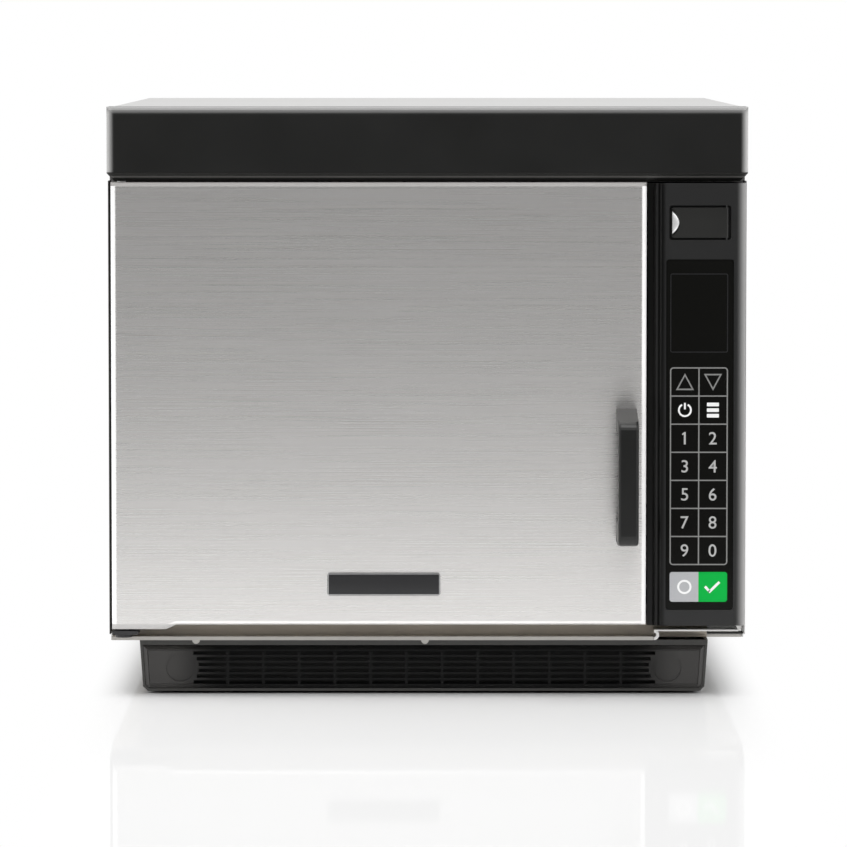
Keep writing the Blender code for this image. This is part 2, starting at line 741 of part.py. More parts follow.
def build_filter():
    """The filter's frame, and the louvred grille in it with slots cut back in arcs round two thumb recesses."""
    left, right, foot, top = filter_bounds()
    axis = add_axis("filter_axis", ((left + right) / 2, BASE_FRONT, (foot + top) / 2))
    front = BASE_FRONT - FILTER_LIP
    back = front + FILTER_DEPTH
    bm = base_block(HEAVY_SHEET + GAP, front, back, top)
    rim = [edge for edge in bm.edges if max(vert.co.y for vert in edge.verts) < front + GAP]
    round_edges(bm, rim, FILTER_CHAMFER, 1)
    place = ((left + right) / 2, BASE_FRONT, (foot + top) / 2)
    frame = add_part("air_filter", bm, BLACK, place, axis, False)
    wall = HEAVY_SHEET + GAP + FILTER_WALL
    well = base_block(wall, front - OVERRUN, back + OVERRUN, top - FILTER_WALL)
    cut(frame, "filter_well_cutter", well)
    face = base_block(wall + GAP, front, front + FILTER_FACE, top - FILTER_WALL - GAP)
    grille = add_part("filter_grille", face, BLACK, place, axis, False)
    cut(grille, "filter_slot_cutter", filter_slots(left, right, foot, front))
    thumb_z = thumb_height(foot)
    recesses = bmesh.new()
    for x in thumb_places(left, right):
        add_rod(
            recesses,
            THUMB_RADIUS,
            (x, front - OVERRUN, thumb_z),
            (x, front + THUMB_DEPTH, thumb_z),
            ROUND_SIDES,
        )
    cut(grille, "thumb_recess_cutter", recesses)
    mesh_y = back + GAP
    sheet = base_block(HEAVY_SHEET + GAP * 2, mesh_y, mesh_y + MESH_SHEET, top - GAP)
    add_part("filter_mesh", sheet, ZINC, ((left + right) / 2, mesh_y, (foot + top) / 2), axis, False)


def thumb_places(left, right):
    """Where the two thumb recesses lie across the panel."""
    return left + THUMB_SIDE_INSET - HEAVY_SHEET, right - THUMB_SIDE_INSET + HEAVY_SHEET


def thumb_height(foot):
    """The thumb recesses sit level with the middle of the slot rows."""
    return foot + SLOT_FIELD_FOOT - FILTER_LIP + (FILTER_ROWS - 1) * SLOT_PITCH / 2


def filter_slots(left, right, foot, front):
    """Rows of slots between ribs; the outer ones stop on an arc round each thumb recess."""
    bm = bmesh.new()
    field_left = left + SLOT_FIELD_LEFT_INSET - HEAVY_SHEET
    field_right = right - SLOT_FIELD_RIGHT_INSET + HEAVY_SHEET
    pitch = (field_right - field_left) / FILTER_COLUMNS
    thumb_left, thumb_right = thumb_places(left, right)
    thumb_z = thumb_height(foot)
    first = thumb_z - (FILTER_ROWS - 1) * SLOT_PITCH / 2
    for row in range(FILTER_ROWS):
        z = first + row * SLOT_PITCH
        reach = math.sqrt(max(0.0, THUMB_CLEAR_RADIUS**2 - (z - thumb_z) ** 2))
        for column in range(FILTER_COLUMNS):
            start = field_left + column * pitch + COLUMN_RIB / 2
            end = field_left + (column + 1) * pitch - COLUMN_RIB / 2
            start = max(start, thumb_left + reach)
            end = min(end, thumb_right - reach)
            add_box(
                bm,
                (start, front - OVERRUN, z - SLOT_HEIGHT / 2),
                (end, front + FILTER_FACE + OVERRUN / 2, z + SLOT_HEIGHT / 2),
            )
    return bm


# Chassis deck, front frame, case and rear panel
def rounded(low, high, radius, steps=3):
    """The outline of a rectangle with round corners."""
    points = []
    points += arc((low[0] + radius, low[1] + radius), radius, 180, 270, steps)
    points += arc((high[0] - radius, low[1] + radius), radius, 270, 360, steps)
    points += arc((high[0] - radius, high[1] - radius), radius, 0, 90, steps)
    points += arc((low[0] + radius, high[1] - radius), radius, 90, 180, steps)
    return points


def cavity_outline(grow=0.0):
    """The cavity's cross-section, larger by a margin if one is given."""
    low = (CAVITY_LEFT - grow, CAVITY_FOOT - grow)
    high = (CAVITY_RIGHT + grow, CAVITY_TOP + grow)
    return rounded(low, high, CAVITY_RADIUS + grow, 4)


def build_deck():
    """The floor sheet of the chassis, whose front lip is the sill under the door."""
    deck = add_part(
        "chassis_deck",
        box((-INNER_HALF, FRAME_Y, DECK_BOTTOM), (INNER_HALF, REAR_PANEL_Y, DECK_TOP)),
        STEEL,
        smooth=False,
    )
    sill_front = FRAME_Y - SILL_REACH
    outline = [
        (sill_front, DECK_BOTTOM),
        (FRAME_Y + OVERRUN, DECK_BOTTOM),
        (FRAME_Y + OVERRUN, DECK_TOP - GAP),
        (sill_front + SILL_HEM, DECK_TOP - GAP),
        (sill_front + SILL_HEM, DECK_BOTTOM + SILL_HEM),
        (sill_front, DECK_BOTTOM + SILL_HEM),
    ]
    join(deck, "sill_lip", extruded(outline, -INNER_HALF, LEDGE_LEFT - GAP, "X"))
    tab_left = -HALF_WIDTH + SILL_TAB_INSET
    for name, x in (("left", tab_left), ("middle", (tab_left + LEDGE_LEFT) / 2)):
        tab = arc((x, DECK_BOTTOM), SILL_TAB_RADIUS, 180, 360, 6)
        tab.append((x + SILL_TAB_RADIUS, DECK_BOTTOM + SILL_HEM / 2))
        tab.append((x - SILL_TAB_RADIUS, DECK_BOTTOM + SILL_HEM / 2))
        join(deck, f"sill_tab_{name}", extruded(tab, sill_front + GAP, sill_front + GAP + SHEET, "Y"))
    slots = bmesh.new()
    for column in range(VENT_COLUMNS * 2):
        x = CAVITY_LEFT + JACKET_THICKNESS + column * VENT_PITCH
        add_box(
            slots,
            (x, FRAME_BACK + JACKET_THICKNESS, DECK_BOTTOM - OVERRUN),
            (x + VENT_HEIGHT, FRAME_BACK + JACKET_THICKNESS + VENT_WIDTH, DECK_TOP + OVERRUN),
        )
        x = COMPARTMENT_LEFT + column * VENT_PITCH
        add_box(
            slots,
            (x, FRAME_BACK + JACKET_THICKNESS, DECK_BOTTOM - OVERRUN),
            (x + VENT_HEIGHT, CAPACITOR_Y - CAPACITOR_RADIUS * 2, DECK_TOP + OVERRUN),
        )
    cut(deck, "deck_slot_cutter", slots)


def case_panel(front, rear):
    """A block that fits inside the case, with its upper corners round like the case's."""
    bm = box((-INNER_HALF, front, FRAME_FOOT), (INNER_HALF, rear, ROOF - GAP))
    round_edges(bm, edges_along(bm, (0, 1, 0), lambda middle: middle.z > BEZEL_FOOT), CASE_RADIUS)
    return bm


def build_front_frame():
    """The steel face behind the door: the cavity mouth, the latch slots and a ledge under the housing."""
    frame = add_part("front_frame", case_panel(FRAME_Y, FRAME_BACK), STEEL, smooth=False)
    before = FRAME_Y - OVERRUN
    behind = FRAME_BACK + OVERRUN
    cut(frame, "cavity_mouth_cutter", extruded(cavity_outline(), before, behind, "Y"))
    openings = bmesh.new()
    slot_half = HOOK_WIDTH + LATCH_SLOT_MARGIN / 2
    for z in hook_heights():
        add_box(
            openings,
            (LATCH_X - slot_half, before, z - HOOK_BARB * 2 - PLAY),
            (LATCH_X + slot_half, behind, z + HOOK_HEIGHT + LATCH_LIFT + PLAY),
        )
    inset = COMPARTMENT_WINDOW_INSET
    add_box(
        openings,
        (HOUSING_LEFT + inset, before, OVERLAY_FOOT),
        (HOUSING_RIGHT - inset, behind, HOUSING_TOP - inset),
    )
    cut(frame, "frame_opening_cutter", openings)
    ledge_front = FRAME_Y - SILL_REACH
    ledge = box(
        (LEDGE_LEFT, ledge_front, LEDGE_TOP - SHEET),
        (INNER_HALF - CASE_RADIUS, FRAME_Y + HEAVY_SHEET / 2, LEDGE_TOP),
    )
    join(frame, "housing_ledge", ledge)
    radius = (LEDGE_TOP - DECK_BOTTOM) / 2
    middle = (LEDGE_LEFT, DECK_BOTTOM + radius)
    curl = arc(middle, radius, 270, 450, 8)
    curl += arc(middle, radius - LEDGE_CURL_SHEET, 450, 270, 6)
    join(frame, "ledge_curl", extruded(curl, ledge_front, ledge_front + SILL_HEM, "Y"))


def build_case():
    """The steel wrap over the top and both sides, which reaches forward beside the door and the housing."""
    bm = box((-HALF_WIDTH, FRAME_Y, DECK_BOTTOM), (HALF_WIDTH, REAR_Y, OVEN_HEIGHT))
    round_edges(bm, edges_along(bm, (0, 1, 0), lambda middle: middle.z > ROOF), CASE_RADIUS)
    open_side(bm, (0, 0, -1), (0, -1, 0), (0, 1, 0))
    case = add_part("outer_case", bm, STEEL)
    solidify(case, CASE_SHEET)
    for name, left in (("left", -HALF_WIDTH), ("right", HALF_WIDTH - CASE_SHEET)):
        cheek = box(
            (left, FRAME_Y - CASE_CHEEK_REACH, DECK_TOP + SILL_HEM),
            (left + CASE_SHEET, FRAME_Y + OVERRUN, BEZEL_FOOT - GAP),
        )
        join(case, f"case_cheek_{name}", cheek)


def gland_place():
    """Where the power cord gland sits in the rear panel."""
    return -HALF_WIDTH + GLAND_SIDE_INSET, GLAND_HEIGHT


def build_rear():
    """The rear panel with its vents, and the cord gland through it."""
    panel = add_part("rear_panel", case_panel(REAR_PANEL_Y - HEAVY_SHEET, REAR_PANEL_Y), STEEL, smooth=False)
    vents = bmesh.new()
    for row in range(VENT_ROWS):
        z = VENT_FOOT + row * VENT_PITCH
        for column in range(VENT_COLUMNS):
            x = CAVITY_MID_X + (column - (VENT_COLUMNS - 1) / 2) * VENT_COLUMN_PITCH
            add_box(
                vents,
                (x - VENT_WIDTH / 2, REAR_PANEL_Y - HEAVY_SHEET - OVERRUN, z),
                (x + VENT_WIDTH / 2, REAR_PANEL_Y + OVERRUN, z + VENT_HEIGHT),
            )
    x, z = gland_place()
    add_rod(
        vents,
        GLAND_RADIUS + GAP,
        (x, REAR_PANEL_Y - HEAVY_SHEET - OVERRUN, z),
        (x, REAR_PANEL_Y + OVERRUN, z),
        ROUND_SIDES,
    )
    cut(panel, "rear_vent_cutter", vents)
    inner = -HEAVY_SHEET - OVERRUN
    profile = [
        (GLAND_BORE, GLAND_REACH),
        (GLAND_RADIUS - PLAY, GLAND_REACH),
        (GLAND_RADIUS, PLASTIC),
        (GLAND_HEAD, PLASTIC),
        (GLAND_HEAD, GAP),
        (GLAND_RADIUS, GAP),
        (GLAND_RADIUS, inner),
        (GLAND_BORE, inner),
        (GLAND_BORE, GLAND_REACH),
    ]
    turned(profile, (x, REAR_PANEL_Y, z), (0, 1, 0), ROUND_SIDES, BLACK, "power_gland")


# Bezel and control housing
def build_bezel():
    """The black moulding across the top, chamfered underneath."""
    bm = box((-HALF_WIDTH, FRONT_Y, BEZEL_FOOT), (HALF_WIDTH, FRAME_Y - GAP, OVEN_HEIGHT))
    foot = edges_along(bm, (1, 0, 0), lambda middle: middle.y < HINGE_Y and middle.z < ROOF - BEZEL_RADIUS)
    foot += edges_along(bm, (0, 1, 0), lambda middle: middle.z < ROOF - BEZEL_RADIUS)
    round_edges(bm, foot, BEZEL_CHAMFER, 1)
    rim = [edge for edge in bm.edges if is_front_rim(edge)]
    round_edges(bm, rim, BEZEL_RADIUS, 3)
    open_side(bm, (0, 1, 0))
    bezel = add_part("top_bezel", bm, BLACK)
    solidify(bezel, PLASTIC)
    hole = rod(
        HINGE_PIN_RADIUS + PLAY / 2,
        (HINGE_X, HINGE_Y, BEZEL_FOOT - OVERRUN),
        (HINGE_X, HINGE_Y, BEZEL_FOOT + PLASTIC + OVERRUN),
    )
    cut(bezel, "bezel_pin_cutter", hole)


def is_front_rim(edge):
    """Whether an edge of the bezel's block is one of its upper front edges."""
    a, b = (vert.co for vert in edge.verts)
    on_front = max(a.y, b.y) < FRONT_Y + GAP
    level = abs(a.z - b.z) < GAP and min(a.z, b.z) > ROOF
    upright = abs(a.x - b.x) < GAP and abs(a.z - b.z) > BEZEL_CHAMFER * 2
    return on_front and (level or upright)


def housing_outline():
    """The housing's section seen from above: a shoulder, a ridge and a groove on the door side."""
    x = HOUSING_LEFT
    shoulder_y = FRONT_Y + HOUSING_SHOULDER
    points = [(x, FRAME_Y - GAP), (x, shoulder_y)]
    x += HOUSING_SHOULDER
    points.append((x, shoulder_y))
    x += HOUSING_RIDGE_WIDTH
    points.append((x, shoulder_y - HOUSING_RIDGE_RISE))
    x += HOUSING_GROOVE_WIDTH
    points.append((x, shoulder_y - HOUSING_RIDGE_RISE + HOUSING_GROOVE_DEPTH))
    x += HOUSING_FLANK
    points.append((x, FRONT_Y))
    points += arc((HOUSING_RIGHT - HOUSING_RADIUS, FRONT_Y + HOUSING_RADIUS), HOUSING_RADIUS, 270, 360, 5)
    points.append((HOUSING_RIGHT, FRAME_Y - GAP))
    return points


def usb_bounds():
    """The USB recess: left, right, foot and top."""
    middle = (OVERLAY_LEFT + OVERLAY_RIGHT) / 2
    left = middle - USB_RECESS_WIDTH / 2
    return left, left + USB_RECESS_WIDTH, USB_RECESS_FOOT, USB_RECESS_TOP


def build_housing():
    """The control housing: a moulded shell with pockets for the overlay, the display and the USB socket."""
    housing = add_part(
        "control_housing", extruded(housing_outline(), HOUSING_FOOT, HOUSING_TOP, "Z"), BLACK
    )
    inner_left = HOUSING_LEFT + PLASTIC
    inner_right = HOUSING_RIGHT - PLASTIC
    wall_y = FRONT_Y + HOUSING_SHOULDER + PLASTIC
    deep_y = FRONT_Y + USB_RECESS_DEPTH + PLASTIC
    left, right, foot, top = usb_bounds()
    rear = FRAME_Y + OVERRUN
    hollow = box((inner_left, wall_y, HOUSING_FOOT + PLASTIC), (inner_right, rear, foot - PLASTIC * 2))
    cut(housing, "housing_hollow_cutter", hollow)
    upper = box((inner_left, deep_y, foot - PLASTIC), (inner_right, rear, HOUSING_TOP - PLASTIC))
    cut(housing, "housing_upper_cutter", upper)
    pocket = extruded(
        rounded(
            (OVERLAY_LEFT - GAP, OVERLAY_FOOT - GAP),
            (OVERLAY_RIGHT + GAP, OVERLAY_TOP + GAP),
            OVERLAY_RADIUS,
        ),
        FRONT_Y - OVERRUN,
        overlay_back() + GAP,
        "Y",
    )
    cut(housing, "overlay_pocket_cutter", pocket)
    display_left, display_right = display_sides()
    window = box(
        (display_left - GAP, FRONT_Y, DISPLAY_FOOT - GAP),
        (display_right + GAP, wall_y + OVERRUN, DISPLAY_TOP + GAP),
    )
    cut(housing, "display_window_cutter", window)
    outline = rounded((left, foot), (right, top), OVERLAY_RADIUS)
    recess = extruded(outline, FRONT_Y - OVERRUN, FRONT_Y + USB_RECESS_DEPTH, "Y")
    cut(housing, "usb_recess_cutter", recess)
    port_low, port_high = port_sides()
    socket = box(
        (port_low[0] - GAP, FRONT_Y, port_low[1] - GAP),
        (port_high[0] + GAP, deep_y + OVERRUN, port_high[1] + GAP),
    )
    cut(housing, "usb_socket_cutter", socket)
    x, y = usb_axis_place()
    bore = rod(
        USB_PIN_RADIUS + GAP,
        (x, y, foot - USB_PIN_BITE - GAP),
        (x, y, top + USB_PIN_BITE + GAP),
        WIRE_SIDES,
    )
    cut(housing, "usb_pin_cutter", bore)


def overlay_back():
    """The overlay's rear face."""
    return FRONT_Y + OVERLAY_SINK + OVERLAY_SHEET


def display_sides():
    """The display's left and right, in the middle of the overlay."""
    middle = (OVERLAY_LEFT + OVERLAY_RIGHT) / 2
    return middle - DISPLAY_WIDTH / 2, middle + DISPLAY_WIDTH / 2


def port_sides():
    """The USB socket's lower left and upper right corners, in the middle of its recess."""
    left, right, foot, top = usb_bounds()
    x = (left + right) / 2
    z = (foot + top) / 2
    low = (x - USB_PORT_WIDTH / 2, z - USB_PORT_HEIGHT / 2)
    return low, (low[0] + USB_PORT_WIDTH, low[1] + USB_PORT_HEIGHT)


def usb_axis_place():
    """Where the USB cover's hinge line crosses the housing."""
    left, right, foot, top = usb_bounds()
    flap_right = (left + right) / 2 + USB_FLAP_WIDTH / 2
    return flap_right - USB_HINGE_RADIUS, FRONT_Y + USB_HINGE_RADIUS


def build_controls():
    """The keypad overlay, the display behind it, the board, and the USB socket."""
    outline = rounded((OVERLAY_LEFT, OVERLAY_FOOT), (OVERLAY_RIGHT, OVERLAY_TOP), OVERLAY_RADIUS)
    add_part("keypad_overlay", extruded(outline, FRONT_Y + OVERLAY_SINK, overlay_back(), "Y"), GLOSS)
    left, right = display_sides()
    display_y = overlay_back() + GAP
    display = box((left, display_y, DISPLAY_FOOT), (right, display_y + DISPLAY_DEPTH, DISPLAY_TOP))
    add_part("display_module", display, GLOSS, smooth=False)
    board_y = display_y + DISPLAY_DEPTH + GAP
    board = box(
        (OVERLAY_LEFT, board_y, OVERLAY_FOOT + BOARD_STANDOFF),
        (OVERLAY_RIGHT - BOARD_SHEET, board_y + BOARD_SHEET, DISPLAY_TOP),
    )
    control_board = add_part("control_board", board, BOARD, smooth=False)
    chips = bmesh.new()
    for row in range(VENT_COLUMNS):
        z = OVERLAY_FOOT + BOARD_STANDOFF * (2 + row * 4)
        add_box(
            chips,
            (OVERLAY_LEFT + BOARD_STANDOFF, board_y + BOARD_SHEET / 2, z),
            (OVERLAY_RIGHT - BOARD_STANDOFF, board_y + BOARD_STANDOFF / 2, z + BOARD_STANDOFF * 2),
        )
    join(control_board, "board_components", chips)
    low, high = port_sides()
    port_y = FRONT_Y + USB_RECESS_DEPTH
    port = add_part(
        "usb_port",
        box((low[0], port_y, low[1]), (high[0], port_y + USB_PORT_DEPTH, high[1])),
        ZINC,
        smooth=False,
    )
    socket = box(
        (low[0] + SHEET, port_y - OVERRUN, low[1] + SHEET),
        (high[0] - SHEET, port_y + USB_PORT_DEPTH - SHEET, high[1] - SHEET),
    )
    cut(port, "usb_slot_cutter", socket)


def build_usb_cover():
    """The hinged flap over the USB socket, with a finger scoop and a pin through its barrel."""
    left, right, foot, top = usb_bounds()
    x, y = usb_axis_place()
    middle = (foot + top) / 2
    axis = add_axis("usb_hinge_axis", (x, y, middle))
    flap_left = x + USB_HINGE_RADIUS - USB_FLAP_WIDTH
    low = middle - USB_FLAP_HEIGHT / 2
    high = middle + USB_FLAP_HEIGHT / 2
    bm = box((flap_left, FRONT_Y, low), (x, FRONT_Y + USB_FLAP_SHEET, high))
    round_edges(bm, edges_along(bm, (0, 1, 0), lambda place: place.x < x - GAP), USB_HINGE_RADIUS)
    flap = add_part("usb_cover", bm, BLACK, (x, y, middle), axis)
    join(flap, "usb_barrel", rod(USB_HINGE_RADIUS, (x, y, low), (x, y, high)))
    stub = rod(
        USB_PIN_RADIUS,
        (x, y, foot - USB_PIN_BITE),
        (x, y, top + USB_PIN_BITE),
        WIRE_SIDES,
    )
    join(flap, "usb_pin", stub)
    scoop = rod(
        USB_SCOOP_RADIUS,
        (flap_left + USB_SCOOP_WIDTH - USB_SCOOP_RADIUS, FRONT_Y - OVERRUN, middle),
        (flap_left + USB_SCOOP_WIDTH - USB_SCOOP_RADIUS, FRONT_Y + USB_FLAP_SHEET / 2, middle),
        ROUND_SIDES,
    )
    cut(flap, "usb_scoop_cutter", scoop)


# Cooking cavity and what is in it
def build_liner():
    """The stainless cavity, with a window for the hot air at the rear and a well opening in its floor."""
    low = (CAVITY_LEFT - SHEET, CAVITY_FRONT, CAVITY_FOOT - SHEET)
    high = (CAVITY_RIGHT + SHEET, CAVITY_REAR + SHEET, CAVITY_TOP + SHEET)
    bm = box(low, high)
    round_edges(bm, edges_along(bm, (0, 1, 0)), CAVITY_RADIUS + SHEET, 4)
    open_side(bm, (0, -1, 0))
    liner = add_part("cavity_liner", bm, LINER_STEEL)
    solidify(liner, SHEET)
    openings = box(
        (CAVITY_LEFT + REAR_WINDOW_INSET, CAVITY_REAR - OVERRUN, CAVITY_FOOT + REAR_WINDOW_INSET),
        (CAVITY_RIGHT - REAR_WINDOW_INSET, CAVITY_REAR + SHEET + OVERRUN, CAVITY_TOP - REAR_WINDOW_INSET),
    )
    for x in element_leads():
        add_rod(
            openings,
            ELEMENT_RADIUS + RUNNING_GAP,
            (x, CAVITY_REAR - OVERRUN, element_height()),
            (x, CAVITY_REAR + SHEET + OVERRUN, element_height()),
        )
    add_rod(
        openings,
        WELL_RADIUS - SHEET,
        (CAVITY_MID_X, CAVITY_MID_Y, CAVITY_FOOT - SHEET - OVERRUN),
        (CAVITY_MID_X, CAVITY_MID_Y, CAVITY_FOOT + OVERRUN),
        ROUND_SIDES,
    )
    cut(liner, "liner_opening_cutter", openings)


def build_jacket():
    """The insulation wrapped round the cavity, cut away for the waveguide."""
    gap = SHEET + GAP
    wall = gap + JACKET_THICKNESS
    low = (CAVITY_LEFT - wall, CAVITY_FRONT, CAVITY_FOOT - wall)
    high = (CAVITY_RIGHT + wall, CAVITY_REAR - JACKET_REAR_INSET, CAVITY_TOP + wall)
    jacket = add_part("insulation_jacket", box(low, high), WOOL, smooth=False)
    inner = extruded(cavity_outline(gap), low[1] - OVERRUN, high[1] + OVERRUN, "Y")
    cut(jacket, "jacket_bore_cutter", inner)
    well = rod(
        WELL_RADIUS + PLAY,
        (CAVITY_MID_X, CAVITY_MID_Y, low[2] - OVERRUN),
        (CAVITY_MID_X, CAVITY_MID_Y, CAVITY_FOOT),
        ROUND_SIDES,
    )
    cut(jacket, "jacket_well_cutter", well)
    duct = box(
        (CAVITY_MID_X, CAVITY_MID_Y - DUCT_HALF_WIDTH - PLAY, low[2] - OVERRUN),
        (high[0] + OVERRUN, CAVITY_MID_Y + DUCT_HALF_WIDTH + PLAY, CAVITY_FOOT - gap + GAP),
    )
    cut(jacket, "jacket_duct_cutter", duct)


def build_ceramic_floor():
    """The ceramic plate that covers the antenna's well."""
    bm = box(
        (CAVITY_LEFT + CAVITY_RADIUS, CAVITY_FRONT + CAVITY_RADIUS, CAVITY_FOOT + GAP),
        (CAVITY_RIGHT - CAVITY_RADIUS, CAVITY_REAR - CAVITY_RADIUS, CAVITY_FOOT + GAP + CERAMIC_SHEET),
    )
    round_edges(bm, edges_along(bm, (0, 0, 1)), CAVITY_RADIUS)
    add_part("ceramic_floor", bm, CERAMIC)


def build_diffuser():
    """The perforated plate that spreads the hot air over the rear wall."""
    rear = CAVITY_REAR - GAP
    inset = REAR_WINDOW_INSET - DIFFUSER_MARGIN
    plate = box(
        (CAVITY_LEFT + inset, rear - SHEET, CAVITY_FOOT + inset),
        (CAVITY_RIGHT - inset, rear, CAVITY_TOP - inset),
    )
    diffuser = add_part("air_diffuser", plate, LINER_STEEL, smooth=False)
    holes = bmesh.new()
    for row in range(DIFFUSER_ROWS):
        z = CAVITY_MID_Z + (row - (DIFFUSER_ROWS - 1) / 2) * DIFFUSER_PITCH
        for column in range(DIFFUSER_COLUMNS):
            x = CAVITY_MID_X + (column - (DIFFUSER_COLUMNS - 1) / 2) * DIFFUSER_PITCH
            add_rod(
                holes,
                DIFFUSER_HOLE_RADIUS,
                (x, rear - SHEET - OVERRUN, z),
                (x, rear + OVERRUN, z),
                HOLE_SIDES,
            )
    cut(diffuser, "diffuser_hole_cutter", holes)


def guide_level(level):
    """The height of a guide's ledge."""
    return CAVITY_FOOT + GUIDE_FIRST_LEVEL + level * GUIDE_PITCH


def build_guides():
    """The two pressed guides with a ledge for each rack height."""
    for name, wall, inward in (("rack_guide_left", CAVITY_LEFT, 1), ("rack_guide_right", CAVITY_RIGHT, -1)):
        x = wall + inward * GAP
        web = x + inward * GUIDE_WEB
        ledge = web + inward * GUIDE_LEDGE
        outline = [(x, guide_level(0) - GUIDE_LEDGE), (web, guide_level(0) - GUIDE_LEDGE)]
        for level in range(GUIDE_LEVELS):
            z = guide_level(level)
            outline += [(web, z - GUIDE_WEB), (ledge, z - GUIDE_WEB), (ledge, z), (web, z)]
        top = guide_level(GUIDE_LEVELS - 1) + GUIDE_LEDGE
        outline += [(web, top), (x, top)]
        bm = extruded(outline, CAVITY_FRONT + GUIDE_END_INSET, CAVITY_REAR - GUIDE_END_INSET, "Y")
        add_part(name, bm, LINER_STEEL, smooth=False)


def build_rack():
    """The wire rack on the middle ledge: a rim of rods with bars between its front and rear."""
    inset = GAP + GUIDE_WEB + PLAY + RACK_RIM_RADIUS
    left = CAVITY_LEFT + inset
    right = CAVITY_RIGHT - inset
    front = CAVITY_FRONT + RACK_END_INSET
    rear = CAVITY_REAR - RACK_END_INSET
    z = guide_level(1) + GAP + RACK_RIM_RADIUS
    axis = add_axis("rack_axis", (CAVITY_MID_X, front, z))
    sides = bmesh.new()
    for x in (left, right):
        start = (x, front - RACK_RIM_RADIUS, z)
        add_rod(sides, RACK_RIM_RADIUS, start, (x, rear + RACK_RIM_RADIUS, z), WIRE_SIDES)
    rack = add_part("wire_rack", sides, LINER_STEEL, (CAVITY_MID_X, front, z), axis)
    ends = bmesh.new()
    for y in (front, rear):
        add_rod(ends, RACK_END_RADIUS, (left, y, z), (right, y, z), WIRE_SIDES)
    join(rack, "rack_ends", ends)
    bars = bmesh.new()
    for bar in range(1, RACK_BARS + 1):
        x = left + (right - left) * bar / (RACK_BARS + 1)
        add_rod(bars, RACK_WIRE_RADIUS, (x, front, z), (x, rear, z), WIRE_SIDES)
    join(rack, "rack_bars", bars)


def element_height():
    """The height of the grill element's centreline."""
    return CAVITY_TOP - ELEMENT_DROP


def element_leads():
    """Where the element's two ends pass through the rear wall."""
    return CAVITY_LEFT + ELEMENT_SIDE_INSET, CAVITY_RIGHT - ELEMENT_SIDE_INSET


def build_element():
    """The grill element: passes joined by half turns on two clips, its ends through the rear wall."""
    z = element_height()
    front = CAVITY_FRONT + ELEMENT_END_INSET
    rear = CAVITY_REAR - ELEMENT_END_INSET
    end = CAVITY_REAR + SHEET + OVERRUN
    first, last = element_leads()
    pitch = (last - first) / (ELEMENT_PASSES - 1)
    points = [(first, end, z)]
    for turn in range(ELEMENT_PASSES - 1):
        middle = first + (turn + 1 / 2) * pitch
        at_front = turn % 2 == 0
        y = front if at_front else rear
        bow = arc((middle, y), pitch / 2, 180, 360 if at_front else 0, 8)
        points += [(x, along, z) for x, along in bow]
    points.append((last, end, z))
    add_part("grill_element", tube(points, ELEMENT_RADIUS, WIRE_SIDES), DARK_STEEL)
    for name, y in (("element_clip_front", front + CLIP_WIDTH), ("element_clip_rear", rear - CLIP_WIDTH)):
        clip = add_part(
            name,
            box(
                (first - CLIP_WIDTH, y, z - CLIP_WIDTH / 2),
                (last + CLIP_WIDTH, y + CLIP_SHEET, CAVITY_TOP - GAP),
            ),
            LINER_STEEL,
            smooth=False,
        )
        holes = bmesh.new()
        for number in range(ELEMENT_PASSES):
            x = first + number * pitch
            start = (x, y - OVERRUN, z)
            add_rod(holes, ELEMENT_RADIUS + GAP * 2, start, (x, y + CLIP_SHEET + OVERRUN, z), WIRE_SIDES)
        cut(clip, name + "_cutter", holes)


# Antenna, waveguide, magnetron and the high-voltage parts
def build_waveguide():
    """The antenna's well and the duct that feeds it from the magnetron, as one shell."""
    centre = (CAVITY_MID_X, CAVITY_MID_Y)
    shell = rod(WELL_RADIUS, (*centre, WELL_FLOOR), (*centre, WELL_TOP), ROUND_SIDES)
    guide = add_part("waveguide", shell, ZINC)
    duct = box(
        (centre[0], centre[1] - DUCT_HALF_WIDTH, WELL_FLOOR),
        (DUCT_END, centre[1] + DUCT_HALF_WIDTH, WELL_TOP - GAP * 2),
    )
    join(guide, "waveguide_duct", duct)
    well_floor = (*centre, WELL_FLOOR + SHEET)
    well = rod(WELL_RADIUS - SHEET, well_floor, (*centre, WELL_TOP + OVERRUN), ROUND_SIDES)
    cut(guide, "waveguide_well_cutter", well)
    hollow = box(
        (centre[0], centre[1] - DUCT_HALF_WIDTH + SHEET, WELL_FLOOR + SHEET),
        (DUCT_END - SHEET, centre[1] + DUCT_HALF_WIDTH - SHEET, WELL_TOP - GAP * 2 - SHEET),
    )
    cut(guide, "waveguide_hollow_cutter", hollow)
    holes = rod(
        ANTENNA_RADIUS + PLAY,
        (MAGNETRON_X, centre[1], WELL_TOP - SHEET - OVERRUN),
        (MAGNETRON_X, centre[1], WELL_TOP + OVERRUN),
    )
    add_rod(
        holes,
        SHAFT_RADIUS + RUNNING_GAP,
        (*centre, WELL_FLOOR - OVERRUN),
        (*centre, WELL_FLOOR + SHEET + OVERRUN),
    )
    cut(guide, "waveguide_hole_cutter", holes)


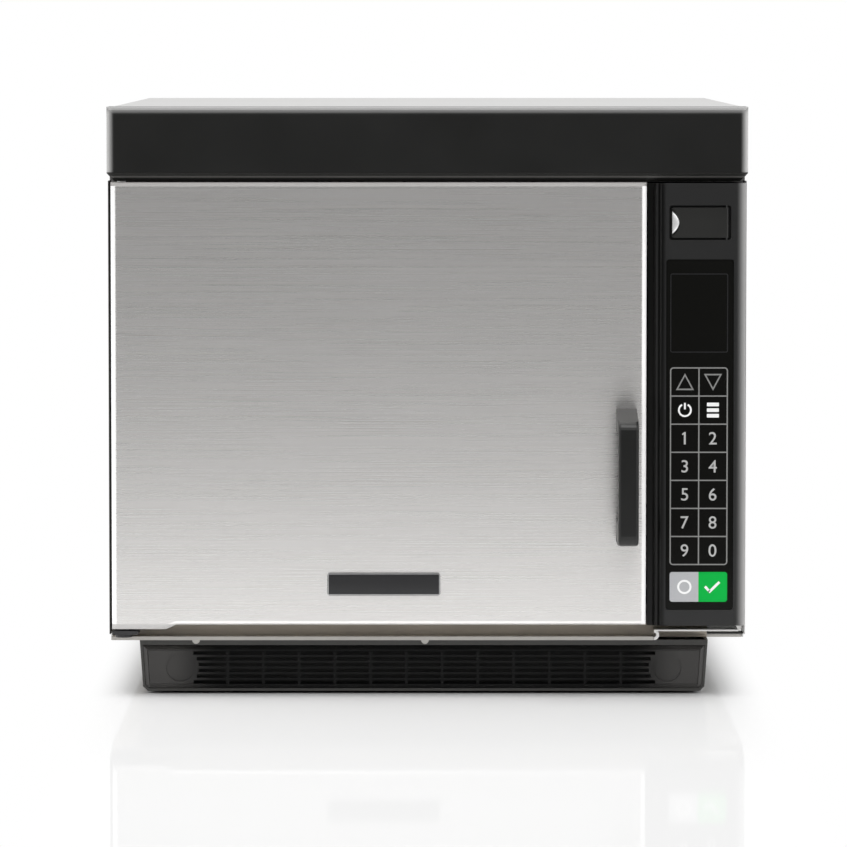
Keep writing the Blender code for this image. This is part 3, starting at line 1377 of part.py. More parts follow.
def build_stirrer():
    """The rotating antenna: crossed arms on a shaft that goes down into its motor."""
    centre = (CAVITY_MID_X, CAVITY_MID_Y)
    z = (WELL_FLOOR + WELL_TOP) / 2
    axis = add_axis("antenna_axis", (*centre, z))
    arm = box(
        (centre[0] - STIRRER_RADIUS, centre[1] - STIRRER_ARM_WIDTH / 2, z),
        (centre[0] + STIRRER_RADIUS, centre[1] + STIRRER_ARM_WIDTH / 2, z + STIRRER_SHEET),
    )
    round_edges(arm, edges_along(arm, (0, 0, 1)), STIRRER_ARM_WIDTH / 3)
    stirrer = add_part("antenna", arm, ZINC, (*centre, z), axis)
    cross = box(
        (centre[0] - STIRRER_ARM_WIDTH / 2, centre[1] - STIRRER_CROSS_RADIUS, z),
        (centre[0] + STIRRER_ARM_WIDTH / 2, centre[1] + STIRRER_CROSS_RADIUS, z + STIRRER_SHEET),
    )
    join(stirrer, "antenna_cross_arm", cross)
    bite = STIRRER_MOTOR_HEIGHT / 2
    shaft = rod(SHAFT_RADIUS, (*centre, WELL_FLOOR - GAP - bite), (*centre, z + STIRRER_SHEET / 2))
    join(stirrer, "antenna_shaft", shaft)
    profile = [
        (0, -GAP - STIRRER_MOTOR_HEIGHT),
        (STIRRER_MOTOR_RADIUS, -GAP - STIRRER_MOTOR_HEIGHT),
        (STIRRER_MOTOR_RADIUS, -GAP),
        (SHAFT_RADIUS + RUNNING_GAP, -GAP),
        (SHAFT_RADIUS + RUNNING_GAP, -GAP - bite - RUNNING_GAP),
        (0, -GAP - bite - RUNNING_GAP),
    ]
    turned(profile[::-1], (*centre, WELL_FLOOR), (0, 0, 1), ROUND_SIDES, BLACK, "antenna_motor")


def build_magnetron():
    """The finned magnetron on the duct, with its antenna through the duct's top."""
    low = Vector((MAGNETRON_X - MAGNETRON_WIDTH / 2, CAVITY_MID_Y - MAGNETRON_DEPTH / 2, WELL_TOP))
    high = low + Vector((MAGNETRON_WIDTH, MAGNETRON_DEPTH, MAGNETRON_HEIGHT))
    magnetron = add_part("magnetron", box(low, high), ZINC, smooth=False)
    dome = rod(
        ANTENNA_RADIUS,
        (MAGNETRON_X, CAVITY_MID_Y, WELL_TOP - ANTENNA_LENGTH),
        (MAGNETRON_X, CAVITY_MID_Y, WELL_TOP + OVERRUN),
    )
    join(magnetron, "magnetron_antenna", dome)
    grooves = bmesh.new()
    step = MAGNETRON_HEIGHT / (MAGNETRON_FINS * 2 + 1)
    for fin in range(MAGNETRON_FINS):
        z = low.z + step * (fin * 2 + 1)
        for edge, inward in ((low.y, 1), (high.y, -1)):
            near = edge - inward * OVERRUN
            far = edge + inward * MAGNETRON_FIN_GROOVE * 3
            start = (low.x - OVERRUN, min(near, far), z)
            add_box(grooves, start, (high.x + OVERRUN, max(near, far), z + step))
    cut(magnetron, "magnetron_groove_cutter", grooves)


def build_high_voltage():
    """The transformer and the capacitor, standing on the deck."""
    base = DECK_TOP + GAP
    low = (COMPARTMENT_MID - TRANSFORMER_WIDTH / 2, TRANSFORMER_FRONT + COIL_PROUD, base)
    high = (low[0] + TRANSFORMER_WIDTH, low[1] + TRANSFORMER_DEPTH, base + TRANSFORMER_HEIGHT)
    transformer = add_part("hv_transformer", box(low, high), COPPER, smooth=False)
    coil = box(
        (COMPARTMENT_MID - COIL_HEIGHT / 2, low[1] - COIL_PROUD, base + COIL_PROUD),
        (COMPARTMENT_MID + COIL_HEIGHT / 2, high[1] + COIL_PROUD, base + COIL_PROUD + COIL_HEIGHT),
    )
    round_edges(coil, edges_along(coil, (0, 1, 0)), COIL_PROUD, 2)
    join(transformer, "transformer_coil", coil)
    profile = [
        (0, CAPACITOR_LENGTH),
        (CAPACITOR_RADIUS, CAPACITOR_LENGTH),
        (CAPACITOR_RADIUS, 0),
        (0, 0),
    ]
    turned(profile, (COMPARTMENT_MID, CAPACITOR_Y, base), (0, 0, 1), ROUND_SIDES, ZINC, "hv_capacitor")


# Convection unit
PLENUM_LEFT = CAVITY_LEFT + REAR_WINDOW_INSET - PLENUM_MARGIN
PLENUM_RIGHT = CAVITY_RIGHT - REAR_WINDOW_INSET + PLENUM_MARGIN
PLENUM_FOOT = CAVITY_FOOT + REAR_WINDOW_INSET - PLENUM_MARGIN
PLENUM_TOP = CAVITY_TOP - REAR_WINDOW_INSET + PLENUM_MARGIN
PLENUM_FRONT = CAVITY_REAR + SHEET + GAP
PLENUM_BACK = PLENUM_FRONT + PLENUM_DEPTH + SHEET
FAN_FRONT = PLENUM_FRONT + (PLENUM_DEPTH - FAN_DEPTH) / 2
PLENUM_NARROWEST = min(PLENUM_RIGHT - PLENUM_LEFT, PLENUM_TOP - PLENUM_FOOT)
RING_RADIUS = PLENUM_NARROWEST / 2 - RING_EDGE_GAP
FAN_RADIUS = RING_RADIUS - FAN_RIM_GAP


def ring_angles():
    """The angles in degrees at which the ring element starts and ends."""
    return 90 + RING_GAP_DEG / 2, 450 - RING_GAP_DEG / 2


def build_convection():
    """The plenum behind the cavity, with the fan, the ring element round it and the motor outside."""
    pan = stepped_pan(
        (PLENUM_LEFT, PLENUM_FOOT),
        (PLENUM_RIGHT, PLENUM_TOP),
        PLENUM_FRONT,
        (("inset", PLENUM_FLANGE), ("push", PLENUM_DEPTH)),
    )
    plenum = add_part("plenum_cover", pan, ZINC, smooth=False, closed=False)
    solidify(plenum, SHEET)
    centre = (CAVITY_MID_X, CAVITY_MID_Z)
    start, end = ring_angles()
    ring_y = FAN_FRONT + FAN_DEPTH / 2
    ends = [arc(centre, RING_RADIUS, angle, angle, 1)[0] for angle in (start, end)]
    holes = rod(
        SHAFT_RADIUS + RUNNING_GAP,
        (centre[0], PLENUM_BACK - SHEET - OVERRUN, centre[1]),
        (centre[0], PLENUM_BACK + OVERRUN, centre[1]),
    )
    for x, z in ends:
        add_rod(
            holes,
            RING_TUBE_RADIUS + GAP * 2,
            (x, PLENUM_BACK - SHEET - OVERRUN, z),
            (x, PLENUM_BACK + OVERRUN, z),
        )
    cut(plenum, "plenum_hole_cutter", holes)
    lead_end = PLENUM_BACK + RING_TUBE_RADIUS
    points = [(ends[0][0], lead_end, ends[0][1]), (ends[0][0], ring_y + RING_TUBE_RADIUS * 2, ends[0][1])]
    margin = RING_GAP_DEG / 2
    points += [(x, ring_y, z) for x, z in arc(centre, RING_RADIUS, start + margin, end - margin, 36)]
    points += [(ends[1][0], ring_y + RING_TUBE_RADIUS * 2, ends[1][1]), (ends[1][0], lead_end, ends[1][1])]
    add_part("ring_element", tube(points, RING_TUBE_RADIUS, WIRE_SIDES), DARK_STEEL)
    build_fan(centre)


def build_fan(centre):
    """The convection fan: straight blades on a disc, and a shaft into the motor behind the plenum."""
    x, z = centre
    back = FAN_FRONT + FAN_DEPTH
    axis = add_axis("fan_axis", (x, back, z))
    disc = rod(FAN_RADIUS, (x, back - SHEET, z), (x, back, z), ROUND_SIDES)
    fan = add_part("convection_fan", disc, ZINC, (x, back, z), axis)
    blades = bmesh.new()
    for blade in range(FAN_BLADES):
        verts = add_box(
            blades,
            (x + FAN_RADIUS / 3, FAN_FRONT, z - SHEET / 2),
            (x + FAN_RADIUS - SHEET, back - SHEET / 2, z + SHEET / 2),
        )
        turn = Matrix.Rotation(2 * math.pi * blade / FAN_BLADES, 3, "Y")
        bmesh.ops.rotate(blades, verts=verts, cent=(x, 0, z), matrix=turn)
    join(fan, "fan_blades", blades)
    bite = FAN_MOTOR_LENGTH / 3
    shaft = rod(SHAFT_RADIUS, (x, FAN_FRONT, z), (x, PLENUM_BACK + GAP + bite, z))
    join(fan, "fan_shaft", shaft)
    profile = [
        (0, FAN_MOTOR_LENGTH),
        (FAN_MOTOR_RADIUS - OVERRUN, FAN_MOTOR_LENGTH),
        (FAN_MOTOR_RADIUS, FAN_MOTOR_LENGTH - OVERRUN),
        (FAN_MOTOR_RADIUS, 0),
        (SHAFT_RADIUS + RUNNING_GAP, 0),
        (SHAFT_RADIUS + RUNNING_GAP, bite + RUNNING_GAP),
        (0, bite + RUNNING_GAP),
    ]
    turned(profile, (x, PLENUM_BACK + GAP, z), (0, 1, 0), ROUND_SIDES, ZINC, "fan_motor")


# Cooling blower
BLOWER_LEFT = COMPARTMENT_LEFT + BLOWER_MOTOR_LENGTH + GAP
BLOWER_RIGHT = BLOWER_LEFT + BLOWER_WIDTH
IMPELLER_LEFT = BLOWER_LEFT + IMPELLER_SIDE_GAP
IMPELLER_RIGHT = BLOWER_RIGHT - IMPELLER_SIDE_GAP
BLOWER_FRONT = TRANSFORMER_REAR + BLOWER_FRONT_GAP + BLOWER_MOUTH_REACH
BLOWER_REAR = REAR_PANEL_Y - BLOWER_REAR_INSET
BLOWER_OUTER_RADIUS = (BLOWER_REAR - BLOWER_FRONT) / 2
BLOWER_INNER_RADIUS = BLOWER_OUTER_RADIUS - SCROLL_GROWTH
IMPELLER_RADIUS = BLOWER_INNER_RADIUS - IMPELLER_RIM_GAP
BLOWER_INLET_RADIUS = IMPELLER_RADIUS - BLOWER_INLET_LIP
BLOWER_Y = (BLOWER_FRONT + BLOWER_REAR) / 2
BLOWER_Z = DECK_TOP + GAP + BLOWER_OUTER_RADIUS
SCROLL_STEPS = 36


def scroll(shrink):
    """The scroll's outline: its radius grows evenly over one turn from the tongue to the mouth."""
    points = []
    for step in range(SCROLL_STEPS + 1):
        share = step / SCROLL_STEPS
        radius = BLOWER_INNER_RADIUS + (BLOWER_OUTER_RADIUS - BLOWER_INNER_RADIUS) * share - shrink
        angle = -math.pi / 2 - 2 * math.pi * share
        points.append((BLOWER_Y + radius * math.cos(angle), BLOWER_Z + radius * math.sin(angle)))
    return points


def build_blower():
    """The scroll housing with its mouth towards the magnetron, the bladed impeller and the motor."""
    housing = add_part("blower_housing", extruded(scroll(0), BLOWER_LEFT, BLOWER_RIGHT, "X"), BLACK)
    foot = BLOWER_Z - BLOWER_OUTER_RADIUS
    mouth_front = BLOWER_Y - BLOWER_OUTER_RADIUS - BLOWER_MOUTH_REACH
    mouth = box((BLOWER_LEFT, mouth_front, foot), (BLOWER_RIGHT, BLOWER_Y, foot + BLOWER_MOUTH_HEIGHT))
    join(housing, "blower_mouth", mouth)
    inner = extruded(scroll(BLOWER_WALL), BLOWER_LEFT + BLOWER_WALL, BLOWER_RIGHT - BLOWER_WALL, "X")
    cut(housing, "scroll_cutter", inner)
    passage = box(
        (BLOWER_LEFT + BLOWER_WALL, mouth_front - OVERRUN, foot + BLOWER_WALL),
        (BLOWER_RIGHT - BLOWER_WALL, BLOWER_Y, foot + BLOWER_MOUTH_HEIGHT - BLOWER_WALL),
    )
    cut(housing, "mouth_cutter", passage)
    holes = rod(
        BLOWER_INLET_RADIUS,
        (BLOWER_RIGHT - BLOWER_WALL - OVERRUN, BLOWER_Y, BLOWER_Z),
        (BLOWER_RIGHT + OVERRUN, BLOWER_Y, BLOWER_Z),
        ROUND_SIDES,
    )
    add_rod(
        holes,
        SHAFT_RADIUS + RUNNING_GAP,
        (BLOWER_LEFT - OVERRUN, BLOWER_Y, BLOWER_Z),
        (BLOWER_LEFT + BLOWER_WALL + OVERRUN, BLOWER_Y, BLOWER_Z),
    )
    cut(housing, "blower_hole_cutter", holes)
    build_impeller()


def build_impeller():
    """A disc with a row of angled blades, on a shaft into the motor beside the scroll."""
    place = (IMPELLER_LEFT, BLOWER_Y, BLOWER_Z)
    axis = add_axis("impeller_axis", place)
    disc = rod(IMPELLER_RADIUS, place, (IMPELLER_LEFT + HEAVY_SHEET, BLOWER_Y, BLOWER_Z), ROUND_SIDES)
    impeller = add_part("blower_impeller", disc, BLACK, place, axis)
    blades = bmesh.new()
    half = IMPELLER_BLADE_SHEET / 2
    z = BLOWER_Z + IMPELLER_RADIUS - IMPELLER_BLADE_DEPTH
    tilt = Matrix.Rotation(math.radians(IMPELLER_BLADE_TILT_DEG), 3, "X")
    for blade in range(IMPELLER_BLADES):
        verts = add_box(
            blades,
            (IMPELLER_LEFT + HEAVY_SHEET / 2, BLOWER_Y - half, z),
            (IMPELLER_RIGHT, BLOWER_Y + half, z + IMPELLER_BLADE_DEPTH - HEAVY_SHEET / 2),
        )
        bmesh.ops.rotate(blades, verts=verts, cent=(0, BLOWER_Y, z + IMPELLER_BLADE_DEPTH / 2), matrix=tilt)
        turn = Matrix.Rotation(2 * math.pi * blade / IMPELLER_BLADES, 3, "X")
        bmesh.ops.rotate(blades, verts=verts, cent=(0, BLOWER_Y, BLOWER_Z), matrix=turn)
    join(impeller, "impeller_blades", blades)
    bite = BLOWER_MOTOR_LENGTH / 2
    shaft_end = (BLOWER_LEFT - GAP - bite, BLOWER_Y, BLOWER_Z)
    shaft = rod(SHAFT_RADIUS, shaft_end, (IMPELLER_LEFT + HEAVY_SHEET / 2, BLOWER_Y, BLOWER_Z))
    join(impeller, "impeller_shaft", shaft)
    profile = [
        (0, BLOWER_MOTOR_LENGTH),
        (BLOWER_MOTOR_RADIUS, BLOWER_MOTOR_LENGTH),
        (BLOWER_MOTOR_RADIUS, 0),
        (SHAFT_RADIUS + RUNNING_GAP, 0),
        (SHAFT_RADIUS + RUNNING_GAP, bite + RUNNING_GAP),
        (0, bite + RUNNING_GAP),
    ]
    turned(profile, (BLOWER_LEFT - GAP, BLOWER_Y, BLOWER_Z), (-1, 0, 0), ROUND_SIDES, ZINC, "blower_motor")


# Interlock behind the front frame
def hook_heights():
    """The heights of the two latch hooks."""
    return DOOR_FOOT + HOOK_INSET, DOOR_TOP - HOOK_INSET


def build_interlock():
    """The channel that the latch hooks enter, with a switch behind each hook."""
    low_z, high_z = hook_heights()
    front = FRAME_BACK + GAP
    low = (LATCH_X - INTERLOCK_WIDTH / 2, front, low_z - INTERLOCK_MARGIN)
    high = (LATCH_X + INTERLOCK_WIDTH / 2, front + INTERLOCK_DEPTH, high_z + INTERLOCK_MARGIN)
    bm = box(low, high)
    open_side(bm, (0, -1, 0))
    bracket = add_part("interlock_bracket", bm, ZINC, smooth=False)
    solidify(bracket, SHEET)
    rear = high[1] - SHEET - GAP
    hook_end = FRAME_Y + HOOK_REACH
    for name, z in (("interlock_switch_lower", low_z), ("interlock_switch_upper", high_z)):
        middle = z + HOOK_HEIGHT / 2
        switch = add_part(
            name,
            box(
                (LATCH_X - SWITCH_WIDTH / 2, rear - SWITCH_DEPTH, middle - SWITCH_HEIGHT / 2),
                (LATCH_X + SWITCH_WIDTH / 2, rear, middle + SWITCH_HEIGHT / 2),
            ),
            BLACK,
            smooth=False,
        )
        plunger = rod(
            PLUNGER_RADIUS,
            (LATCH_X, hook_end + RUNNING_GAP, middle),
            (LATCH_X, rear - SWITCH_DEPTH / 2, middle),
            WIRE_SIDES,
        )
        join(switch, name + "_plunger", plunger)


# Hinges between the chassis and the door
def build_hinges():
    """The upper bracket inside the bezel and the lower one under the door's heel, each with its pin."""
    heel = DOOR_FOOT - DOOR_HEEL_DROP
    upper_foot = BEZEL_FOOT + BEZEL_CHAMFER + PLASTIC / 2
    lower_foot = heel - PLAY - HINGE_BRACKET_SHEET
    build_hinge("upper", upper_foot, upper_foot + HINGE_BRACKET_SHEET + GAP, 1, DOOR_TOP - HINGE_PIN_REACH)
    build_hinge("lower", lower_foot, lower_foot - GAP, -1, heel + HINGE_PIN_REACH)


def build_hinge(name, foot, seat, outward, tip):
    """An angle bracket on the front frame, and a headed pin through its hole."""
    left = -HALF_WIDTH + PLASTIC + GAP * 2
    right = left + HINGE_BRACKET_WIDTH
    rear = FRAME_Y - GAP
    plate = box(
        (left, HINGE_Y - HINGE_PIN_HEAD - PLAY, foot),
        (right, rear, foot + HINGE_BRACKET_SHEET),
    )
    bracket = add_part(f"hinge_bracket_{name}", plate, ZINC, smooth=False)
    leg = box(
        (left, rear - HINGE_BRACKET_SHEET, foot + HINGE_BRACKET_SHEET / 2),
        (right, rear, foot + HINGE_BRACKET_LEG),
    )
    join(bracket, f"hinge_leg_{name}", leg)
    hole = rod(
        HINGE_PIN_RADIUS + GAP,
        (HINGE_X, HINGE_Y, foot - OVERRUN),
        (HINGE_X, HINGE_Y, foot + HINGE_BRACKET_SHEET + OVERRUN),
    )
    cut(bracket, f"hinge_hole_{name}", hole)
    reach = abs(tip - seat)
    profile = [
        (0, HEAVY_SHEET),
        (HINGE_PIN_HEAD, HEAVY_SHEET),
        (HINGE_PIN_HEAD, 0),
        (HINGE_PIN_RADIUS, 0),
        (HINGE_PIN_RADIUS, -reach + PLAY / 2),
        (HINGE_PIN_RADIUS - PLAY / 2, -reach),
        (0, -reach),
    ]
    turned(profile, (HINGE_X, HINGE_Y, seat), (0, 0, outward), PIN_SIDES, ZINC, f"hinge_pin_{name}")


# Door
FLANGE_Y = DOOR_BACK - SHEET
CHOKE_BORDER_Y = DOOR_PARTS_REAR - CHOKE_COVER_SHEET - GAP
HANDLE_RIGHT = DOOR_RIGHT - HANDLE_RIGHT_INSET
HANDLE_MID_X = HANDLE_RIGHT - HANDLE_WIDTH / 2


def door_outline():
    """The door seen from the front, with the lower heel under its hinge side."""
    heel = DOOR_FOOT - DOOR_HEEL_DROP
    heel_end = DOOR_LEFT + DOOR_HEEL_WIDTH
    return [
        (DOOR_LEFT, heel),
        (heel_end, heel),
        (heel_end + DOOR_HEEL_SLOPE, DOOR_FOOT),
        (DOOR_RIGHT, DOOR_FOOT),
        (DOOR_RIGHT, DOOR_TOP),
        (DOOR_LEFT, DOOR_TOP),
    ]


def post_heights():
    """The middles of the handle's two posts."""
    return HANDLE_FOOT + HANDLE_POST / 2, HANDLE_FOOT + HANDLE_LENGTH - HANDLE_POST / 2


def build_door_skin(axis):
    """The steel front pan with rolled edges, holed for the hinge pins and the handle screws."""
    bm = extruded(door_outline(), FRONT_Y, DOOR_BACK, "Y")
    rim = [edge for edge in bm.edges if max(vert.co.y for vert in edge.verts) < FRONT_Y + GAP]
    round_edges(bm, rim, DOOR_RADIUS)
    open_side(bm, (0, 1, 0))
    skin = add_part("door_skin", bm, STEEL, (HINGE_X, HINGE_Y, 0), axis)
    solidify(skin, SHEET)
    holes = rod(
        HINGE_PIN_RADIUS + RUNNING_GAP,
        (HINGE_X, HINGE_Y, DOOR_FOOT - DOOR_HEEL_DROP - OVERRUN),
        (HINGE_X, HINGE_Y, DOOR_FOOT - DOOR_HEEL_DROP + SHEET + OVERRUN),
    )
    add_rod(
        holes,
        HINGE_PIN_RADIUS + RUNNING_GAP,
        (HINGE_X, HINGE_Y, DOOR_TOP - SHEET - OVERRUN),
        (HINGE_X, HINGE_Y, DOOR_TOP + OVERRUN),
    )
    for z in post_heights():
        add_rod(
            holes,
            HANDLE_SCREW_RADIUS + GAP,
            (HANDLE_MID_X, FRONT_Y - OVERRUN, z),
            (HANDLE_MID_X, FRONT_Y + SHEET + OVERRUN, z),
        )
    cut(skin, "door_hole_cutter", holes)


def frame_bounds(inset):
    """The door frame's rectangle, smaller by an inset on every side."""
    margin = SHEET + GAP + inset
    return (DOOR_LEFT + margin, DOOR_FOOT + margin), (DOOR_RIGHT - margin, DOOR_TOP - margin)


def build_door_frame(axis):
    """The drawn frame round the choke groove, and the inner panel before the cavity mouth."""
    low, high = frame_bounds(0)
    pan = stepped_pan(
        low,
        high,
        FLANGE_Y,
        (
            ("inset", CHOKE_END_INSET),
            ("push", CHOKE_BORDER_Y - FLANGE_Y),
            ("inset", CHOKE_BORDER),
            ("push", -CHOKE_DEPTH),
            ("inset", CHOKE_MOUTH),
            ("push", CHOKE_DEPTH + DOOR_PARTS_REAR - SHEET - GAP - CHOKE_BORDER_Y),
            ("open", 0),
        ),
    )
    frame = add_part("door_frame", pan, LINER_STEEL, (HINGE_X, HINGE_Y, 0), axis, False, False)
    solidify(frame, SHEET, 1.0)
    panel_low, panel_high = frame_bounds(CHOKE_END_INSET + CHOKE_BORDER + CHOKE_MOUTH)
    plate = box(
        (panel_low[0], DOOR_PARTS_REAR - SHEET, panel_low[1]),
        (panel_high[0], DOOR_PARTS_REAR, panel_high[1]),
    )
    add_part("door_inner_panel", plate, LINER_STEEL, (HINGE_X, HINGE_Y, 0), axis, False)
    outer_low, outer_high = frame_bounds(CHOKE_END_INSET + SHEET)
    inner_low, inner_high = frame_bounds(CHOKE_END_INSET + CHOKE_BORDER + CHOKE_MOUTH - GAP)
    front = CHOKE_BORDER_Y + GAP
    back = front + CHOKE_COVER_SHEET
    cover = box((outer_low[0], front, outer_low[1]), (outer_high[0], back, outer_high[1]))
    ring = add_part("choke_cover", cover, BLACK, (HINGE_X, HINGE_Y, 0), axis, False)
    mouth = box(
        (inner_low[0], front - OVERRUN, inner_low[1]),
        (inner_high[0], back + OVERRUN, inner_high[1]),
    )
    cut(ring, "choke_cover_cutter", mouth)


def handle_outline():
    """The handle seen from the side: two posts and a bar, its top sloping down to the front."""
    back = FRONT_Y - GAP
    front = FRONT_Y - HANDLE_REACH
    foot = HANDLE_FOOT
    top = HANDLE_FOOT + HANDLE_LENGTH
    inner = front + HANDLE_BAR
    low = foot + HANDLE_POST
    high = top - HANDLE_POST
    half = HANDLE_ROUND / 2
    points = [(back, low), (back, foot)]
    points += arc((front + HANDLE_ROUND, foot + HANDLE_ROUND), HANDLE_ROUND, 270, 180, 5)
    nose = top - HANDLE_SLOPE
    points += arc((front + HANDLE_ROUND, nose - HANDLE_ROUND), HANDLE_ROUND, 180, 105, 5)
    points += [(back, top), (back, high)]
    points += arc((inner + half, high - half), half, 90, 180, 4)
    points += arc((inner + half, low + half), half, 180, 270, 4)
    return points


def build_handle(axis):
    """The bow handle, its two screws from inside the door, and the bare plate lower down."""
    left = HANDLE_RIGHT - HANDLE_WIDTH
    bm = extruded(handle_outline(), left, HANDLE_RIGHT, "X")
    rim = [edge for edge in bm.edges if abs(edge.verts[0].co.x - edge.verts[1].co.x) < GAP]
    rim = [edge for edge in rim if max(vert.co.y for vert in edge.verts) < FRONT_Y - GAP * 2]
    round_edges(bm, rim, HANDLE_EDGE, 2)
    handle = add_part("door_handle", bm, BLACK, (HINGE_X, HINGE_Y, 0), axis)
    holes = bmesh.new()
    for name, z in zip(("lower", "upper"), post_heights()):
        add_rod(
            holes,
            HANDLE_SCREW_RADIUS + GAP,
            (HANDLE_MID_X, FRONT_Y - HANDLE_SCREW_GRIP - GAP, z),
            (HANDLE_MID_X, FRONT_Y + OVERRUN, z),
        )
        profile = [
            (0, HEAVY_SHEET),
            (HANDLE_SCREW_HEAD, HEAVY_SHEET / 2),
            (HANDLE_SCREW_HEAD, 0),
            (HANDLE_SCREW_RADIUS, 0),
            (HANDLE_SCREW_RADIUS, -SHEET - GAP - HANDLE_SCREW_GRIP),
            (0, -SHEET - GAP - HANDLE_SCREW_GRIP),
        ]
        place = (HANDLE_MID_X, FRONT_Y + SHEET + GAP, z)
        turned(profile, place, (0, 1, 0), PIN_SIDES, ZINC, f"handle_screw_{name}", axis)
    cut(handle, "handle_screw_cutter", holes)
    plate_left = DOOR_LEFT + BADGE_LEFT
    plate_right = plate_left + BADGE_WIDTH
    outline = rounded((plate_left, BADGE_FOOT), (plate_right, BADGE_FOOT + BADGE_HEIGHT), BADGE_RADIUS)
    plate = extruded(outline, FRONT_Y - GAP - BADGE_SHEET, FRONT_Y - GAP, "Y")
    add_part("door_plate", plate, GLOSS, (HINGE_X, HINGE_Y, 0), axis)


def build_latch(axis):
    """The sprung bar behind the door's flange, with two hooks that reach through the front frame."""
    front = FLANGE_Y + GAP
    rear = front + LATCH_BAR_DEPTH
    place = (LATCH_X, front, LATCH_MID_Z)
    slide = add_axis("latch_axis", place, axis)
    low_z, high_z = hook_heights()
    bar = box(
        (LATCH_X - LATCH_BAR_WIDTH / 2, front, low_z - LATCH_BAR_REACH),
        (LATCH_X + LATCH_BAR_WIDTH / 2, rear, high_z + LATCH_BAR_REACH),
    )
    latch = add_part("latch_bar", bar, ZINC, place, slide, False)
    tip = FRAME_Y + HOOK_REACH
    for name, z in (("lower", low_z), ("upper", high_z)):
        outline = [
            (rear - SHEET, z),
            (tip - HOOK_HEIGHT / 2, z),
            (tip - HOOK_HEIGHT / 2, z - HOOK_BARB),
            (tip, z + HOOK_BARB / 2),
            (tip, z + HOOK_HEIGHT),
            (rear - SHEET, z + HOOK_HEIGHT),
        ]
        hook = extruded(outline, LATCH_X - HOOK_WIDTH / 2, LATCH_X + HOOK_WIDTH / 2, "X")
        join(latch, f"latch_hook_{name}", hook)


def build_door():
    """Everything that swings with the door, under one empty on the hinge line."""
    axis = add_axis("door_hinge_axis", (HINGE_X, HINGE_Y, 0))
    build_door_skin(axis)
    build_door_frame(axis)
    build_handle(axis)
    build_latch(axis)


def build_oven():
    """The whole oven, from the floor up."""
    build_base()
    build_filter()
    build_deck()
    build_front_frame()
    build_case()
    build_rear()
    build_bezel()
    build_housing()
    build_controls()
    build_usb_cover()
    build_liner()
    build_jacket()
    build_ceramic_floor()
    build_diffuser()
    build_guides()
    build_rack()
    build_element()
    build_waveguide()
    build_stirrer()
    build_magnetron()
    build_high_voltage()
    build_convection()
    build_blower()
    build_interlock()
    build_hinges()
    build_door()


build_oven()
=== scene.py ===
"""The speed oven as it looks in a shop photograph: finishes, printed keypad, floor, light and camera."""
import math

import bmesh
import bpy
from mathutils import Matrix, Vector


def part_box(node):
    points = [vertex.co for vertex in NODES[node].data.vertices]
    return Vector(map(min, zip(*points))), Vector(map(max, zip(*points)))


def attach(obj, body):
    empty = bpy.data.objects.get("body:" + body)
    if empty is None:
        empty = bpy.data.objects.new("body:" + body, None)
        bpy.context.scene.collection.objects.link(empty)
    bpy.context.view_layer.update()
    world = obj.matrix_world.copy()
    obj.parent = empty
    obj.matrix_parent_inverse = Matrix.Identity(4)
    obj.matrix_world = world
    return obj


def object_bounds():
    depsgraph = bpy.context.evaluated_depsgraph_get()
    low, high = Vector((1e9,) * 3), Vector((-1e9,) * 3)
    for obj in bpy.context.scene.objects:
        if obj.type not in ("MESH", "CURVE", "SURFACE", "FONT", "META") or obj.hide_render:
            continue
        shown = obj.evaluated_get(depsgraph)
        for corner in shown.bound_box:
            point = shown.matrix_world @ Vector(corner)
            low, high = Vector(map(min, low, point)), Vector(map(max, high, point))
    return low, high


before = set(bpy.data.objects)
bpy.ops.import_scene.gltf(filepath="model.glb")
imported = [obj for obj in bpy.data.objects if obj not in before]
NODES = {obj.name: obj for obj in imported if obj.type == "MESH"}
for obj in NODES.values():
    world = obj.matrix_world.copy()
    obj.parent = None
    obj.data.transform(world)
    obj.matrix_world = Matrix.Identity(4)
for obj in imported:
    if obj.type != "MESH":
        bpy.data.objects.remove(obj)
CAD_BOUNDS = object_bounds()


# Nodes that materials and the world share
def ramp(tree, value, start, end):
    """A smooth step from nothing to one as a value goes from a start to an end."""
    node = tree.nodes.new("ShaderNodeMapRange")
    node.interpolation_type = "SMOOTHSTEP"
    node.inputs["From Min"].default_value = start
    node.inputs["From Max"].default_value = end
    tree.links.new(value, node.inputs["Value"])
    return node.outputs["Result"]


def mix(tree, factor, first, second):
    """A colour between two by a factor; each of the two is a grey level, a colour or a socket."""
    node = tree.nodes.new("ShaderNodeMix")
    node.data_type = "RGBA"
    tree.links.new(factor, node.inputs["Factor"])
    for key, value in (("A", first), ("B", second)):
        if isinstance(value, float):
            node.inputs[key].default_value = (value, value, value, 1.0)
        elif isinstance(value, tuple):
            node.inputs[key].default_value = (*value, 1.0)
        else:
            tree.links.new(value, node.inputs[key])
    return node.outputs["Result"]


def around(value, share):
    """The values a share below and above one."""
    return value * (1 - share), value * (1 + share)


def shades(colour, share):
    """A darker and a lighter shade of a colour."""
    low, high = zip(*(around(channel, share) for channel in colour))
    return low, tuple(min(1.0, channel) for channel in high)


# Materials. Noise lies mostly between these two values
NOISE_LOW = 0.3
NOISE_HIGH = 0.7
# Masks by place go over from nothing to one within this length
EDGE_BLEND = 0.0004
# Cells to the metre of a paint's unevenness, and how far it darkens and lightens the paint
PAINT_CELLS = 40.0
PAINT_UNEVEN = 0.03


